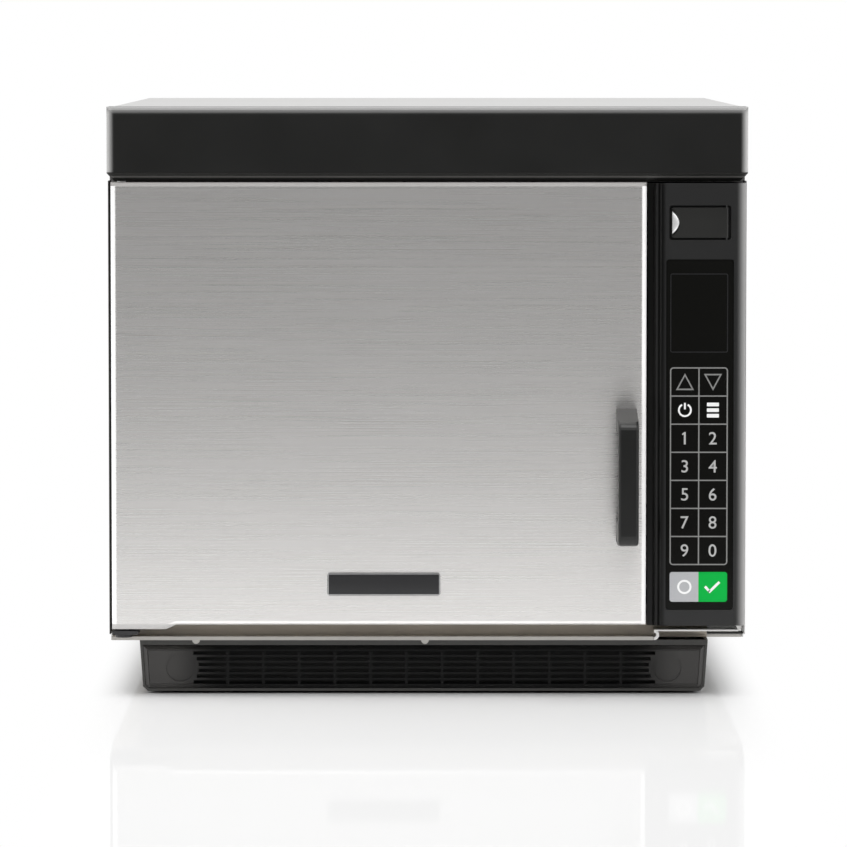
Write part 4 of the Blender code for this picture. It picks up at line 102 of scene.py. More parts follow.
class Finish:
    """A node material under construction, with short calls for the nodes that it needs."""

    def __init__(self, name):
        self.material = bpy.data.materials.new(name)
        self.material.use_nodes = True
        self.tree = self.material.node_tree
        self.shader = self.tree.nodes["Principled BSDF"]
        self.surface = self.shader.outputs["BSDF"]
        coordinates = self.tree.nodes.new("ShaderNodeTexCoord")
        self.place = coordinates.outputs["Object"]

    def link(self, source, target):
        """Joins an output to an input."""
        self.tree.links.new(source, target)

    def set(self, **values):
        """Gives inputs of the shader their values, by names with underscores for spaces."""
        for key, value in values.items():
            self.shader.inputs[key.replace("_", " ")].default_value = value

    def noise(self, cells, detail=2.0, rough=0.5):
        """Noise in the piece's own frame, by its cells to the metre: one number, or three for X, Y and Z."""
        mapping = self.tree.nodes.new("ShaderNodeMapping")
        mapping.inputs["Scale"].default_value = cells if isinstance(cells, tuple) else (cells, cells, cells)
        self.link(self.place, mapping.inputs["Vector"])
        noise = self.tree.nodes.new("ShaderNodeTexNoise")
        noise.inputs["Scale"].default_value = 1.0
        noise.inputs["Detail"].default_value = detail
        noise.inputs["Roughness"].default_value = rough
        self.link(mapping.outputs["Vector"], noise.inputs["Vector"])
        return noise.outputs["Fac"]

    def spread(self, noise, low, high):
        """Noise mapped to a range."""
        node = self.tree.nodes.new("ShaderNodeMapRange")
        node.inputs["From Min"].default_value = NOISE_LOW
        node.inputs["From Max"].default_value = NOISE_HIGH
        node.inputs["To Min"].default_value = low
        node.inputs["To Max"].default_value = high
        self.link(noise, node.inputs["Value"])
        return node.outputs["Result"]

    def uneven(self, noise, colour, share):
        """A colour that noise makes a little darker and lighter."""
        return mix(self.tree, self.spread(noise, 0.0, 1.0), *shades(colour, share))

    def bump(self, value, strength, distance):
        """Relief by a value."""
        node = self.tree.nodes.new("ShaderNodeBump")
        node.inputs["Strength"].default_value = strength
        node.inputs["Distance"].default_value = distance
        self.link(value, node.inputs["Height"])
        self.link(node.outputs["Normal"], self.shader.inputs["Normal"])

    def fade(self, axis, start, end):
        """A smooth step from nothing to one along an axis of the piece's own frame."""
        split = self.tree.nodes.new("ShaderNodeSeparateXYZ")
        self.link(self.place, split.inputs["Vector"])
        return ramp(self.tree, split.outputs[axis], start, end)

    def below(self, axis, place):
        """A mask of what lies below a place on an axis."""
        return self.fade(axis, place + EDGE_BLEND, place)

    def above(self, axis, place):
        """A mask of what lies above a place on an axis."""
        return self.fade(axis, place - EDGE_BLEND, place)

    def rim(self, axis, edge, reach, inwards=1):
        """A mask by the distance inwards of an edge: nothing at the reach's first, one at its second."""
        return self.fade(axis, edge + inwards * reach[0], edge + inwards * reach[1])

    def ends(self, low, high, reach):
        """A mask by the distance from a piece's left and right edges."""
        return self.join("MAXIMUM", self.rim("X", low.x, reach), self.rim("X", high.x, reach, inwards=-1))

    def join(self, operation, mask, *others):
        """Masks made one: MULTIPLY where all hold, MAXIMUM where any does, SUBTRACT less the others."""
        for other in others:
            node = self.tree.nodes.new("ShaderNodeMath")
            node.operation = operation
            self.link(mask, node.inputs[0])
            self.link(other, node.inputs[1])
            mask = node.outputs["Value"]
        return mask

    def cover(self, factor, shader):
        """Lays a shader over the surface so far, by a number or a mask."""
        both = self.tree.nodes.new("ShaderNodeMixShader")
        if isinstance(factor, float):
            both.inputs["Fac"].default_value = factor
        else:
            self.link(factor, both.inputs["Fac"])
        self.link(self.surface, both.inputs[1])
        self.link(shader, both.inputs[2])
        self.surface = both.outputs["Shader"]
        self.link(self.surface, self.tree.nodes["Material Output"].inputs["Surface"])

    def paint_over(self, mask, colour, rough, specular):
        """Lays a paint over the finish where a mask is one: here, painted highlights and painted shade."""
        paint = self.tree.nodes.new("ShaderNodeBsdfPrincipled")
        self.link(self.uneven(self.noise(PAINT_CELLS), colour, PAINT_UNEVEN), paint.inputs["Base Color"])
        paint.inputs["Roughness"].default_value = rough
        paint.inputs["Specular IOR Level"].default_value = specular
        self.cover(mask, paint.outputs["BSDF"])


# Brushed metal: the streaks' noise, depth and swing of roughness, and the turn of its long highlight
STREAK_DETAIL = 3.0
STREAK_ROUGH = 0.6
STREAK_DEPTH = 0.0001
STREAK_SWING = 0.05
HIGHLIGHT_TURN = 0.25
# Cells to the metre of streaks along X and along Y
ALONG_X = (5.0, 5.0, 2600.0)
ALONG_Y = (900.0, 3.0, 900.0)


def brushed(name, colour, rough, cells=ALONG_Y, amount=0.03, anisotropic=0.0, relief=0.0, grazing=1.0):
    """Brushed metal: streaks in the colour, the roughness and the relief, along the brush."""
    finish = Finish(name)
    streaks = finish.noise(cells, STREAK_DETAIL, STREAK_ROUGH)
    finish.link(finish.uneven(streaks, colour, amount), finish.shader.inputs["Base Color"])
    finish.link(finish.spread(streaks, *around(rough, STREAK_SWING)), finish.shader.inputs["Roughness"])
    finish.set(Metallic=1.0, Anisotropic=anisotropic, Anisotropic_Rotation=HIGHLIGHT_TURN)
    finish.set(Specular_Tint=(grazing, grazing, grazing, 1.0))
    if anisotropic:
        tangent = finish.tree.nodes.new("ShaderNodeTangent")
        tangent.direction_type = "RADIAL"
        tangent.axis = "Z"
        finish.link(tangent.outputs["Tangent"], finish.shader.inputs["Tangent"])
    if relief:
        finish.bump(streaks, relief, STREAK_DEPTH)
    return finish


# Moulded surfaces: cells to the metre of the unevenness, its swing of roughness, the grain and the coat
MOULD_CELLS = 14.0
MOULD_SWING = 0.08
GRAIN_DETAIL = 1.0
GRAIN_DEPTH = 0.00008
COAT_ROUGH = 0.06


def moulded(
    name, colour, rough, amount=0.08, grain=2500.0, relief=0.15, coat=0.0, metallic=0.0, specular=0.5,
):
    """A moulded, painted or glazed surface: fine grain, with a faint unevenness over it."""
    finish = Finish(name)
    noise = finish.noise(MOULD_CELLS)
    finish.link(finish.uneven(noise, colour, amount), finish.shader.inputs["Base Color"])
    finish.link(finish.spread(noise, *around(rough, MOULD_SWING)), finish.shader.inputs["Roughness"])
    finish.set(Metallic=metallic, Specular_IOR_Level=specular, Coat_Weight=coat, Coat_Roughness=COAT_ROUGH)
    if relief:
        finish.bump(finish.noise(grain, GRAIN_DETAIL), relief, GRAIN_DEPTH)
    return finish


def grainless(name, colour, rough, amount=0.03, **values):
    """A moulded or printed surface with no grain."""
    return moulded(name, colour, rough, amount, relief=0.0, **values)


# Finishes with painted highlights and painted shade by place. A paint is its colour, roughness and specular
# level
# Painted shade, on the case's strip beside the door and in the seam beside the base
SHADE_PAINT = ((0.030, 0.029, 0.026), 0.6, 0.2)
# Brownish painted shade in the recess under the door
RECESS_SHADE_PAINT = ((0.52, 0.47, 0.40), 0.6, 0.3)
# Painted shade over the filter's slots
SLOTS_SHADE_PAINT = ((0.005, 0.005, 0.005), 0.5, 0.12)
# Painted highlights on the bezel's ends and top edge, painted shade on its foot, and a painted highlight line
# over the foot
BEZEL_END_HIGHLIGHT = ((0.50, 0.495, 0.49), 0.35, 0.5)
BEZEL_TOP_HIGHLIGHT = ((0.25, 0.248, 0.245), 0.35, 0.3)
BEZEL_FOOT_SHADE_PAINT = ((0.012, 0.012, 0.011), 0.4, 0.2)
FOOT_HIGHLIGHT_PAINT = ((0.075, 0.073, 0.070), 0.4, 0.3)
# Painted highlights on the door's hems: bright at the sides, dimmer at the top and the heel
DOOR_SIDE_HIGHLIGHT = ((0.97, 0.965, 0.955), 0.3, 0.5)
DOOR_TOP_HIGHLIGHT = ((0.36, 0.35, 0.34), 0.4, 0.3)
DOOR_HEEL_HIGHLIGHT = ((0.52, 0.51, 0.50), 0.4, 0.3)
# The housing's face painted lighter than its shaded left margin, and a painted highlight on its right edge
FACE_LIT_PAINT = ((0.019, 0.019, 0.019), 0.32, 0.3)
FACE_EDGE_HIGHLIGHT = ((0.30, 0.297, 0.293), 0.35, 0.5)
# Where the painted shade of the seam beside the base lies: low and high on Z, and in front of a place on Y
SEAM_SHADE_SPAN = (0.0444, 0.0464)
SEAM_SHADE_DEPTH = (-0.2150, -0.2200)
# The sill's back on Y: the toe recess has painted shade behind it
SILL_BACK = -0.2462
# Distances inwards of a piece's edge at which painted highlight and shade begin and at which they are full
SLOTS_FADE = (0.0160, 0.0600)
EDGE_FRONT = (0.0090, 0.0063)
EDGE_SHINE = (0.0062, 0.0)
FACE_SHINE = (0.00744, 0.0)
FACE_MARGIN = (0.0110, 0.0143)
FOOT_SHADE = (0.00744, 0.0062)
HEM_FRONT = (0.0035, 0.0028)
SIDE_HEM = (0.0042, 0.00294)
TOP_HEM = (0.0032, 0.00256)
HEEL_HEM = (0.0050, 0.0035)
# The bezel's painted highlight line lies between these heights over its foot
FOOT_HIGHLIGHT_HEIGHTS = (0.0028, 0.0038)


def shade_seam(finish):
    """Painted shade in the seam low at the front, to the right of the base."""
    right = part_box("base_plinth")[1].x
    seam = finish.join(
        "MULTIPLY", finish.above("X", right + EDGE_BLEND), finish.fade("Y", *SEAM_SHADE_DEPTH),
        finish.above("Z", SEAM_SHADE_SPAN[0]), finish.below("Z", SEAM_SHADE_SPAN[1]),
    )
    finish.paint_over(seam, *SHADE_PAINT)


def case_steel():
    """The case's steel, with painted shade on the left strip beside the door."""
    finish = brushed("case_steel", (0.60, 0.595, 0.585), 0.34, relief=0.06, grazing=0.8)
    low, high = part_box("door_skin")
    strip = finish.join("MULTIPLY", finish.below("X", low.x - EDGE_BLEND), finish.below("Y", high.y))
    finish.paint_over(strip, *SHADE_PAINT)
    shade_seam(finish)
    return finish.material


def toe_steel(name, colour):
    """The frame's and the sill's steel, with a brownish painted shade in the recess under the door and over
    the base.
    """
    finish = brushed(name, colour, 0.34, relief=0.06)
    recess = finish.join(
        "MULTIPLY", finish.below("Z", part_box("control_housing")[0].z), finish.above("Y", SILL_BACK),
        finish.below("X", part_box("base_plinth")[1].x),
    )
    finish.paint_over(recess, *RECESS_SHADE_PAINT)
    shade_seam(finish)
    return finish.material


def door_steel():
    """The door's brushed steel, with bright painted highlights on the side hems and dimmer painted highlights
    along the top and the heel.
    """
    finish = brushed(
        "door_steel", (0.875, 0.858, 0.842), 0.28, ALONG_X, amount=0.006, anisotropic=0.75, relief=0.006,
    )
    low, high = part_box("door_skin")
    front = finish.rim("Y", low.y, HEM_FRONT)
    hems = (
        (finish.ends(low, high, SIDE_HEM), DOOR_SIDE_HIGHLIGHT),
        (finish.rim("Z", high.z, TOP_HEM, inwards=-1), DOOR_TOP_HIGHLIGHT),
        (finish.rim("Z", low.z, HEEL_HEM), DOOR_HEEL_HIGHLIGHT),
    )
    for hem, paint in hems:
        finish.paint_over(finish.join("MULTIPLY", hem, front), *paint)
    return finish.material


def bezel_black():
    """The bezel's moulding, with painted highlights at its ends and its top edge, and a thin painted
    highlight line over its foot, which has painted shade.
    """
    finish = moulded("bezel_black", (0.006, 0.006, 0.0055), 0.30, specular=0.7)
    low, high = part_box("top_bezel")
    front = finish.rim("Y", low.y, EDGE_FRONT)
    finish.paint_over(finish.join("MULTIPLY", finish.ends(low, high, EDGE_SHINE), front), *BEZEL_END_HIGHLIGHT)
    top = finish.join("MULTIPLY", finish.rim("Z", high.z, EDGE_SHINE, inwards=-1), front)
    finish.paint_over(top, *BEZEL_TOP_HIGHLIGHT)
    finish.paint_over(finish.rim("Z", low.z, FOOT_SHADE), *BEZEL_FOOT_SHADE_PAINT)
    line_low, line_high = (low.z + height for height in FOOT_HIGHLIGHT_HEIGHTS)
    shine = finish.join("MULTIPLY", finish.above("Z", line_low), finish.below("Z", line_high), front)
    finish.paint_over(shine, *FOOT_HIGHLIGHT_PAINT)
    return finish.material


def housing_black():
    """The housing's moulding, painted lighter on its face than in its left margin, which is left dark as
    painted shade, with a painted highlight on its right edge.
    """
    finish = moulded("housing_black", (0.002, 0.002, 0.0018), 0.30, specular=0.26)
    low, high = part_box("control_housing")
    finish.paint_over(finish.rim("X", low.x, FACE_MARGIN), *FACE_LIT_PAINT)
    front = finish.rim("Y", low.y, EDGE_FRONT)
    right = finish.rim("X", high.x, FACE_SHINE, inwards=-1)
    finish.paint_over(finish.join("MULTIPLY", right, front), *FACE_EDGE_HIGHLIGHT)
    return finish.material


def filter_black():
    """The filter's moulding, darker where the slots are than at its ends: a painted shade."""
    finish = moulded("filter_black", (0.031, 0.029, 0.027), 0.42)
    low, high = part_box("air_filter")
    left = finish.rim("X", low.x, SLOTS_FADE)
    right = finish.rim("X", high.x, SLOTS_FADE, inwards=-1)
    finish.paint_over(finish.join("MULTIPLY", left, right), *SLOTS_SHADE_PAINT)
    return finish.material


# The materials, by colour and roughness, then by unevenness, grain and relief where those aren't the usual
DOOR_STEEL = door_steel()
CASE_STEEL = case_steel()
FRAME_STEEL = toe_steel("frame_steel", (0.74, 0.735, 0.72))
SILL_STEEL = toe_steel("sill_steel", (0.44, 0.425, 0.40))
LINER_STEEL = brushed("liner_steel", (0.66, 0.655, 0.64), 0.30).material
ZINC = moulded("zinc_plate", (0.60, 0.61, 0.60), 0.38, 0.06, 900.0, 0.10, metallic=1.0).material
BEZEL_BLACK = bezel_black()
HOUSING_BLACK = housing_black()
FLAP_BLACK = moulded("flap_black", (0.016, 0.016, 0.015), 0.30, specular=0.6).material
HANDLE_BLACK = moulded("handle_black", (0.006, 0.006, 0.0055), 0.36, specular=0.38).material
FILTER_BLACK = filter_black()
INNER_BLACK = moulded("inner_black", (0.020, 0.020, 0.021), 0.45).material
MESH_BLACK = moulded("mesh_black", (0.020, 0.020, 0.019), 0.7, specular=0.2).material
OVERLAY_GLOSS = grainless("overlay_gloss", (0.0056, 0.0056, 0.0050), 0.16, 0.05, specular=0.09).material
PLATE_GLOSS = grainless("plate_gloss", (0.008, 0.008, 0.009), 0.22, 0.05, coat=0.3).material
BASE_PAINT = moulded("base_paint", (0.040, 0.039, 0.036), 0.42, 0.08, 1600.0, 0.2).material
RUBBER = moulded("foot_rubber", (0.018, 0.018, 0.018), 0.8, 0.15, 1200.0, 0.3).material
CERAMIC = moulded("ceramic_glaze", (0.74, 0.72, 0.68), 0.40, 0.03, 700.0, 0.1).material
WOOL = moulded("mineral_wool", (0.60, 0.57, 0.48), 0.95, 0.2, 400.0, 0.8).material
BOARD = moulded("circuit_board", (0.02, 0.14, 0.06), 0.45, 0.1).material
COPPER = moulded("copper_winding", (0.60, 0.28, 0.13), 0.36, 0.1, 900.0, 0.3, metallic=1.0).material
DARK_STEEL = moulded("dark_element", (0.09, 0.085, 0.08), 0.5, 0.15, 900.0, 0.2, metallic=1.0).material
PRINT_GREY = grainless("print_grey", (0.44, 0.44, 0.435), 0.4, 0.02).material
PRINT_LINE = grainless("print_line", (0.22, 0.22, 0.215), 0.4, 0.02).material
PRINT_WHITE = grainless("print_white", (0.86, 0.86, 0.86), 0.4, 0.02).material
KEY_GREY = grainless("key_grey", (0.42, 0.425, 0.44), 0.32, coat=0.2).material
KEY_GREEN = grainless("key_green", (0.003, 0.40, 0.055), 0.40, specular=0.1).material
WINDOW_EDGE = grainless("window_edge", (0.012, 0.012, 0.013), 0.3).material
PLATE_RIM = grainless("plate_rim", (0.55, 0.55, 0.55), 0.35, metallic=1.0).material
FLAP_SILVER = grainless("flap_silver", (0.95, 0.95, 0.95), 0.45, 0.04, metallic=1.0).material

# What wears each material; the rest is left to dress_frame
WEARERS = (
    (CASE_STEEL, ("outer_case", "rear_panel")),
    (FRAME_STEEL, ("front_frame",)),
    (SILL_STEEL, ("chassis_deck",)),
    (DOOR_STEEL, ("door_skin",)),
    (LINER_STEEL, (
        "door_frame", "door_inner_panel", "cavity_liner", "air_diffuser", "rack_guide_left",
        "rack_guide_right", "wire_rack", "element_clip_front", "element_clip_rear",
    )),
    (BEZEL_BLACK, ("top_bezel",)),
    (HOUSING_BLACK, ("control_housing",)),
    (FLAP_BLACK, ("usb_cover",)),
    (HANDLE_BLACK, ("door_handle",)),
    (FILTER_BLACK, ("air_filter", "filter_grille")),
    (MESH_BLACK, ("filter_mesh",)),
    # The lower hinge bracket and pin wear the inner black as painted shade in the recess under the door
    (INNER_BLACK, (
        "choke_cover", "blower_housing", "blower_impeller", "antenna_motor", "interlock_switch_upper",
        "interlock_switch_lower", "power_gland", "hinge_bracket_lower", "hinge_pin_lower",
    )),
    (OVERLAY_GLOSS, ("keypad_overlay", "display_module")),
    (PLATE_GLOSS, ("door_plate",)),
    (BASE_PAINT, ("base_plinth",)),
    (CERAMIC, ("ceramic_floor",)),
    (WOOL, ("insulation_jacket",)),
    (BOARD, ("control_board",)),
    (COPPER, ("hv_transformer",)),
    (DARK_STEEL, ("grill_element", "ring_element")),
)
FINISH_OF = {name: material for material, names in WEARERS for name in names}


def dress_frame():
    """Gives every CAD node its finish; what isn't named is rubber on the feet and zinc elsewhere."""
    for name, node in NODES.items():
        other = RUBBER if name.startswith("foot_") else ZINC
        node.data.materials.clear()
        node.data.materials.append(FINISH_OF.get(name, other))


# Small meshes in the oven's front plane: points are X and Z, and the front faces -Y.
# Printed pieces lie this far in front of what they are printed on, and are this thick
PRINT_LIFT = 0.00005
PRINT_SHEET = 0.00008
SHARP_ANGLE = math.radians(35)
CORNER_STEPS = 6


def piece(name, bm, material, body, smooth=False):
    """A finished mesh that rides on a CAD body and wears the given material."""
    bmesh.ops.recalc_face_normals(bm, faces=bm.faces)
    mesh = bpy.data.meshes.new(name)
    bm.to_mesh(mesh)
    bm.free()
    if smooth:
        mesh.shade_smooth()
        mesh.set_sharp_from_angle(angle=SHARP_ANGLE)
    mesh.materials.append(material)
    thing = bpy.data.objects.new(name, mesh)
    bpy.context.scene.collection.objects.link(thing)
    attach(thing, body)


def prism(bm, outline, front):
    """A flat convex shape with its face at a Y, as thick as print."""
    near = [bm.verts.new((x, front, z)) for x, z in outline]
    far = [bm.verts.new((x, front + PRINT_SHEET, z)) for x, z in outline]
    bm.faces.new(near)
    bm.faces.new(far[::-1])
    count = len(outline)
    for i in range(count):
        j = (i + 1) % count
        bm.faces.new((near[i], far[i], far[j], near[j]))


def band(bm, inner, outer, front, closed=True):
    """A shape between two lines of points, as quads as thick as print."""
    count = len(inner)
    for i in range(count if closed else count - 1):
        j = (i + 1) % count
        prism(bm, (inner[i], inner[j], outer[j], outer[i]), front)


def arc(centre, radius, start, end, steps):
    """Points along an arc, by angles in degrees."""
    turns = [math.radians(start + (end - start) * step / steps) for step in range(steps + 1)]
    return [(centre[0] + radius * math.cos(turn), centre[1] + radius * math.sin(turn)) for turn in turns]


def rounded(left, foot, right, top, radius, steps=CORNER_STEPS):
    """The outline of a rectangle with round corners."""
    points = arc((left + radius, foot + radius), radius, 180, 270, steps)
    points += arc((right - radius, foot + radius), radius, 270, 360, steps)
    points += arc((right - radius, top - radius), radius, 0, 90, steps)
    return points + arc((left + radius, top - radius), radius, 90, 180, steps)


def frame_line(bm, left, foot, right, top, radius, width, front):
    """A line round a rectangle with round corners."""
    half = width / 2
    outer = rounded(left - half, foot - half, right + half, top + half, radius + half)
    inner = rounded(left + half, foot + half, right - half, top - half, radius - half)
    band(bm, inner, outer, front)


def line(bm, start, end, width, front):
    """A straight line between two points."""
    run = Vector((end[0] - start[0], end[1] - start[1])).normalized() * width / 2
    side = (-run.y, run.x)
    outline = (
        (start[0] - side[0], start[1] - side[1]), (end[0] - side[0], end[1] - side[1]),
        (end[0] + side[0], end[1] + side[1]), (start[0] + side[0], start[1] + side[1]),
    )
    prism(bm, outline, front)


def outline_of(bm, corners, width, front):
    """A line of even width inside a triangle's edges."""
    middle = Vector((sum(x for x, z in corners) / 3, sum(z for x, z in corners) / 3))
    edge = Vector(corners[1]) - Vector(corners[0])
    reach = abs(edge.cross(middle - Vector(corners[0]))) / edge.length
    inner = [tuple(middle + (Vector(corner) - middle) * (1 - width / reach)) for corner in corners]
    band(bm, inner, corners, front)


# The keypad's print. The middle of the keys lies this far to the left of the overlay's
KEYS_ASIDE = 0.0006
OVERLAY_LOW, OVERLAY_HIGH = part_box("keypad_overlay")
PRINT_Y = OVERLAY_LOW.y - PRINT_LIFT
KEY_X = (OVERLAY_LOW.x + OVERLAY_HIGH.x) / 2 - KEYS_ASIDE
KEY_HALF = 0.02165
KEY_TOP = OVERLAY_LOW.z + 0.1851
KEY_ROWS = 7
KEY_PITCH = 0.02152
KEY_COLUMN = 0.0107
KEY_ROUND = 0.0022
LINE = 0.00095
# Lines that cross others lie a little behind them, so that no two faces share a plane
ROW_SINK = PRINT_LIFT / 4
SPLIT_SINK = PRINT_LIFT / 3
# The display's frame, by distances from the overlay's top
DISPLAY_TOP = 0.0109
DISPLAY_FOOT = 0.0705
DISPLAY_ROUND = 0.0012
DISPLAY_LINE = 0.0008
ARROW_HALF = 0.0069
ARROW_BASE = 0.0062
ARROW_TIP = 0.0066
ARROW_LINE = 0.0011
# Round signs: radii, and the angles in degrees between which they run
ROUND_STEPS = 32
POWER_RADII = (0.0039, 0.0053)
POWER_TURN = (118, 422)
POWER_STEM = (0.0006, 0.0056)
POWER_LINE = 0.0014
RING_RADII = (0.0039, 0.0055)
RING_TURN = (0, 352)
MENU_HALF = 0.0046
MENU_PITCH = 0.0043
MENU_LINE = 0.0028
MENU_ROUND = 0.0004
MENU_STEPS = 2
DIGITS = "1234567890"
DIGIT_ROW = 2
DIGIT_HEIGHT = 0.0095
DIGIT_WEIGHT = 0.003
# The flag of the 1, from the digit's middle
FLAG = ((-0.0019, 0.0028), (0.0, 0.0043))
FLAG_LINE = 0.0011
# The stop and start pair, by heights over the overlay's foot
PAIR_FOOT = 0.0058
PAIR_TOP = 0.0287
PAIR_HALF = 0.0220
PAIR_ROUND = 0.0020
# The tick's two strokes, from the key's middle; the second begins a little beyond the elbow
TICK_STROKES = (((-0.0056, 0.0003), (-0.0021, -0.0035)), ((-0.0027, -0.0042), (0.0054, 0.0037)))
TICK_LINE = 0.0019


def key_centre(row, side):
    """The middle of a key: rows count from the top, side is -1 or 1."""
    return KEY_X + side * KEY_COLUMN, KEY_TOP - (row + 0.5) * KEY_PITCH


def stroke(bm, centre, ends, width, front):
    """A straight line whose two ends are given from a centre."""
    line(bm, *((centre[0] + x, centre[1] + z) for x, z in ends), width, front)


def ring(bm, centre, radii, turn, front, closed=True):
    """A ring between two radii; a closed one runs on from its end to its start."""
    inner, outer = (arc(centre, radius, *turn, ROUND_STEPS) for radius in radii)
    band(bm, inner, outer, front, closed)


def digit(bm, character, centre):
    """A printed digit, drawn as a filled text curve."""
    curve = bpy.data.curves.new("digit", "FONT")
    curve.body = character
    curve.offset = DIGIT_WEIGHT
    curve.extrude = PRINT_SHEET / 2
    thing = bpy.data.objects.new("digit", curve)
    bpy.context.scene.collection.objects.link(thing)
    bpy.context.view_layer.update()
    mesh = bpy.data.meshes.new_from_object(thing.evaluated_get(bpy.context.evaluated_depsgraph_get()))
    bpy.data.objects.remove(thing)
    low = [min(vert.co[axis] for vert in mesh.vertices) for axis in (0, 1)]
    high = [max(vert.co[axis] for vert in mesh.vertices) for axis in (0, 1)]
    size = DIGIT_HEIGHT / (high[1] - low[1])
    shift = Matrix.Translation((-(low[0] + high[0]) / 2, -(low[1] + high[1]) / 2, 0))
    scale = Matrix.Diagonal((size, size, 1, 1))
    stand = Matrix.Rotation(math.pi / 2, 4, "X")
    place = Matrix.Translation((centre[0], PRINT_Y + PRINT_SHEET / 2, centre[1]))
    mesh.transform(place @ stand @ scale @ shift)
    bm.from_mesh(mesh)
    bpy.data.meshes.remove(mesh)


def print_grid():
    """The light grid round the keys, and the faint frame of the display."""
    bm = bmesh.new()
    left, right = KEY_X - KEY_HALF, KEY_X + KEY_HALF
    foot = KEY_TOP - KEY_ROWS * KEY_PITCH
    frame_line(bm, left, foot, right, KEY_TOP, KEY_ROUND, LINE, PRINT_Y)
    for row in range(1, KEY_ROWS):
        z = KEY_TOP - row * KEY_PITCH
        line(bm, (left, z), (right, z), LINE, PRINT_Y + ROW_SINK)
    line(bm, (KEY_X, foot), (KEY_X, KEY_TOP), LINE, PRINT_Y + SPLIT_SINK)
    piece("keypad_grid", bm, PRINT_LINE, "body")
    bm = bmesh.new()
    foot, top = OVERLAY_HIGH.z - DISPLAY_FOOT, OVERLAY_HIGH.z - DISPLAY_TOP
    frame_line(bm, left, foot, right, top, DISPLAY_ROUND, DISPLAY_LINE, PRINT_Y)
    piece("display_frame", bm, WINDOW_EDGE, "body")


def print_arrows():
    """The outlines of the two arrows, up and down."""
    bm = bmesh.new()
    for side, up in ((-1, 1), (1, -1)):
        x, z = key_centre(0, side)
        base = z - up * ARROW_BASE
        corners = [(x - ARROW_HALF, base), (x + ARROW_HALF, base), (x, z + up * ARROW_TIP)]
        outline_of(bm, corners, ARROW_LINE, PRINT_Y)
    piece("keypad_arrows", bm, PRINT_LINE, "body")


def print_signs():
    """The power and menu signs."""
    bm = bmesh.new()
    centre = key_centre(1, -1)
    ring(bm, centre, POWER_RADII, POWER_TURN, PRINT_Y, closed=False)
    stroke(bm, centre, [(0.0, height) for height in POWER_STEM], POWER_LINE, PRINT_Y)
    x, z = key_centre(1, 1)
    half = MENU_LINE / 2
    for step in (-1, 0, 1):
        middle = z + step * MENU_PITCH
        bar = rounded(x - MENU_HALF, middle - half, x + MENU_HALF, middle + half, MENU_ROUND, MENU_STEPS)
        prism(bm, bar, PRINT_Y)
    piece("keypad_signs", bm, PRINT_WHITE, "body")


def print_digits():
    """The ten digits, in five rows of two."""
    bm = bmesh.new()
    for number, character in enumerate(DIGITS):
        centre = key_centre(DIGIT_ROW + number // 2, 1 if number % 2 else -1)
        digit(bm, character, centre)
        if character == "1":
            stroke(bm, centre, FLAG, FLAG_LINE, PRINT_Y + ROW_SINK)
    piece("keypad_digits", bm, PRINT_GREY, "body")


def half_key(side, low, high):
    """Half of the stop and start pair: round corners outside, square at the split."""
    corner = KEY_X + side * (PAIR_HALF - PAIR_ROUND)
    if side < 0:
        outline = [(KEY_X, low), (KEY_X, high)]
        corners = ((high - PAIR_ROUND, 90), (low + PAIR_ROUND, 180))
    else:
        outline = [(KEY_X, high), (KEY_X, low)]
        corners = ((low + PAIR_ROUND, 270), (high - PAIR_ROUND, 0))
    for z, start in corners:
        outline += arc((corner, z), PAIR_ROUND, start, start + 90, CORNER_STEPS)
    return outline


def print_stop_start():
    """The grey stop key with its ring and the green start key with its tick."""
    low = OVERLAY_LOW.z + PAIR_FOOT
    high = OVERLAY_LOW.z + PAIR_TOP
    for name, side, material in (("stop_key", -1, KEY_GREY), ("start_key", 1, KEY_GREEN)):
        bm = bmesh.new()
        prism(bm, half_key(side, low, high), PRINT_Y)
        piece(name, bm, material, "body")
    bm = bmesh.new()
    middle = (low + high) / 2
    front = PRINT_Y - PRINT_LIFT
    ring(bm, (KEY_X - KEY_COLUMN, middle), RING_RADII, RING_TURN, front)
    for ends in TICK_STROKES:
        stroke(bm, (KEY_X + KEY_COLUMN, middle), ends, TICK_LINE, front)
    piece("stop_start_signs", bm, PRINT_WHITE, "body")


# Trim on the flap and the plate. The insert stands in from the flap's free edge and from its face,
# and comes forward by its hollow towards its right
INSERT_EDGE = 0.0004
INSERT_FACE = 0.00115
INSERT_REACH = 0.0052
INSERT_HALF = 0.0088
INSERT_CURVE = 1.7
INSERT_HOLLOW = 0.0009
INSERT_ROWS = 16
INSERT_COLUMNS = 6
SAME_POINT = 1e-6
RIM_INSET = 0.0006
RIM_ROUND = 0.0008
RIM_LINE = 0.0006


def flap_insert():
    """The bright insert in the flap's finger scoop."""
    low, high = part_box("usb_cover")
    left = low.x + INSERT_EDGE
    face = low.y + INSERT_FACE
    middle = (low.z + high.z) / 2
    bm = bmesh.new()
    grid = []
    for row in range(INSERT_ROWS + 1):
        along = -1 + 2 * row / INSERT_ROWS
        width = INSERT_REACH * (1 - abs(along) ** INSERT_CURVE)
        points = []
        for column in range(INSERT_COLUMNS + 1):
            share = column / INSERT_COLUMNS
            point = (left + width * share, face - INSERT_HOLLOW * share**2, middle + along * INSERT_HALF)
            points.append(bm.verts.new(point))
        grid.append(points)
    for lower, upper in zip(grid, grid[1:]):
        for column in range(INSERT_COLUMNS):
            bm.faces.new((lower[column], lower[column + 1], upper[column + 1], upper[column]))
    bmesh.ops.remove_doubles(bm, verts=bm.verts, dist=SAME_POINT)
    piece("flap_insert", bm, FLAP_SILVER, "usb_flap", smooth=True)


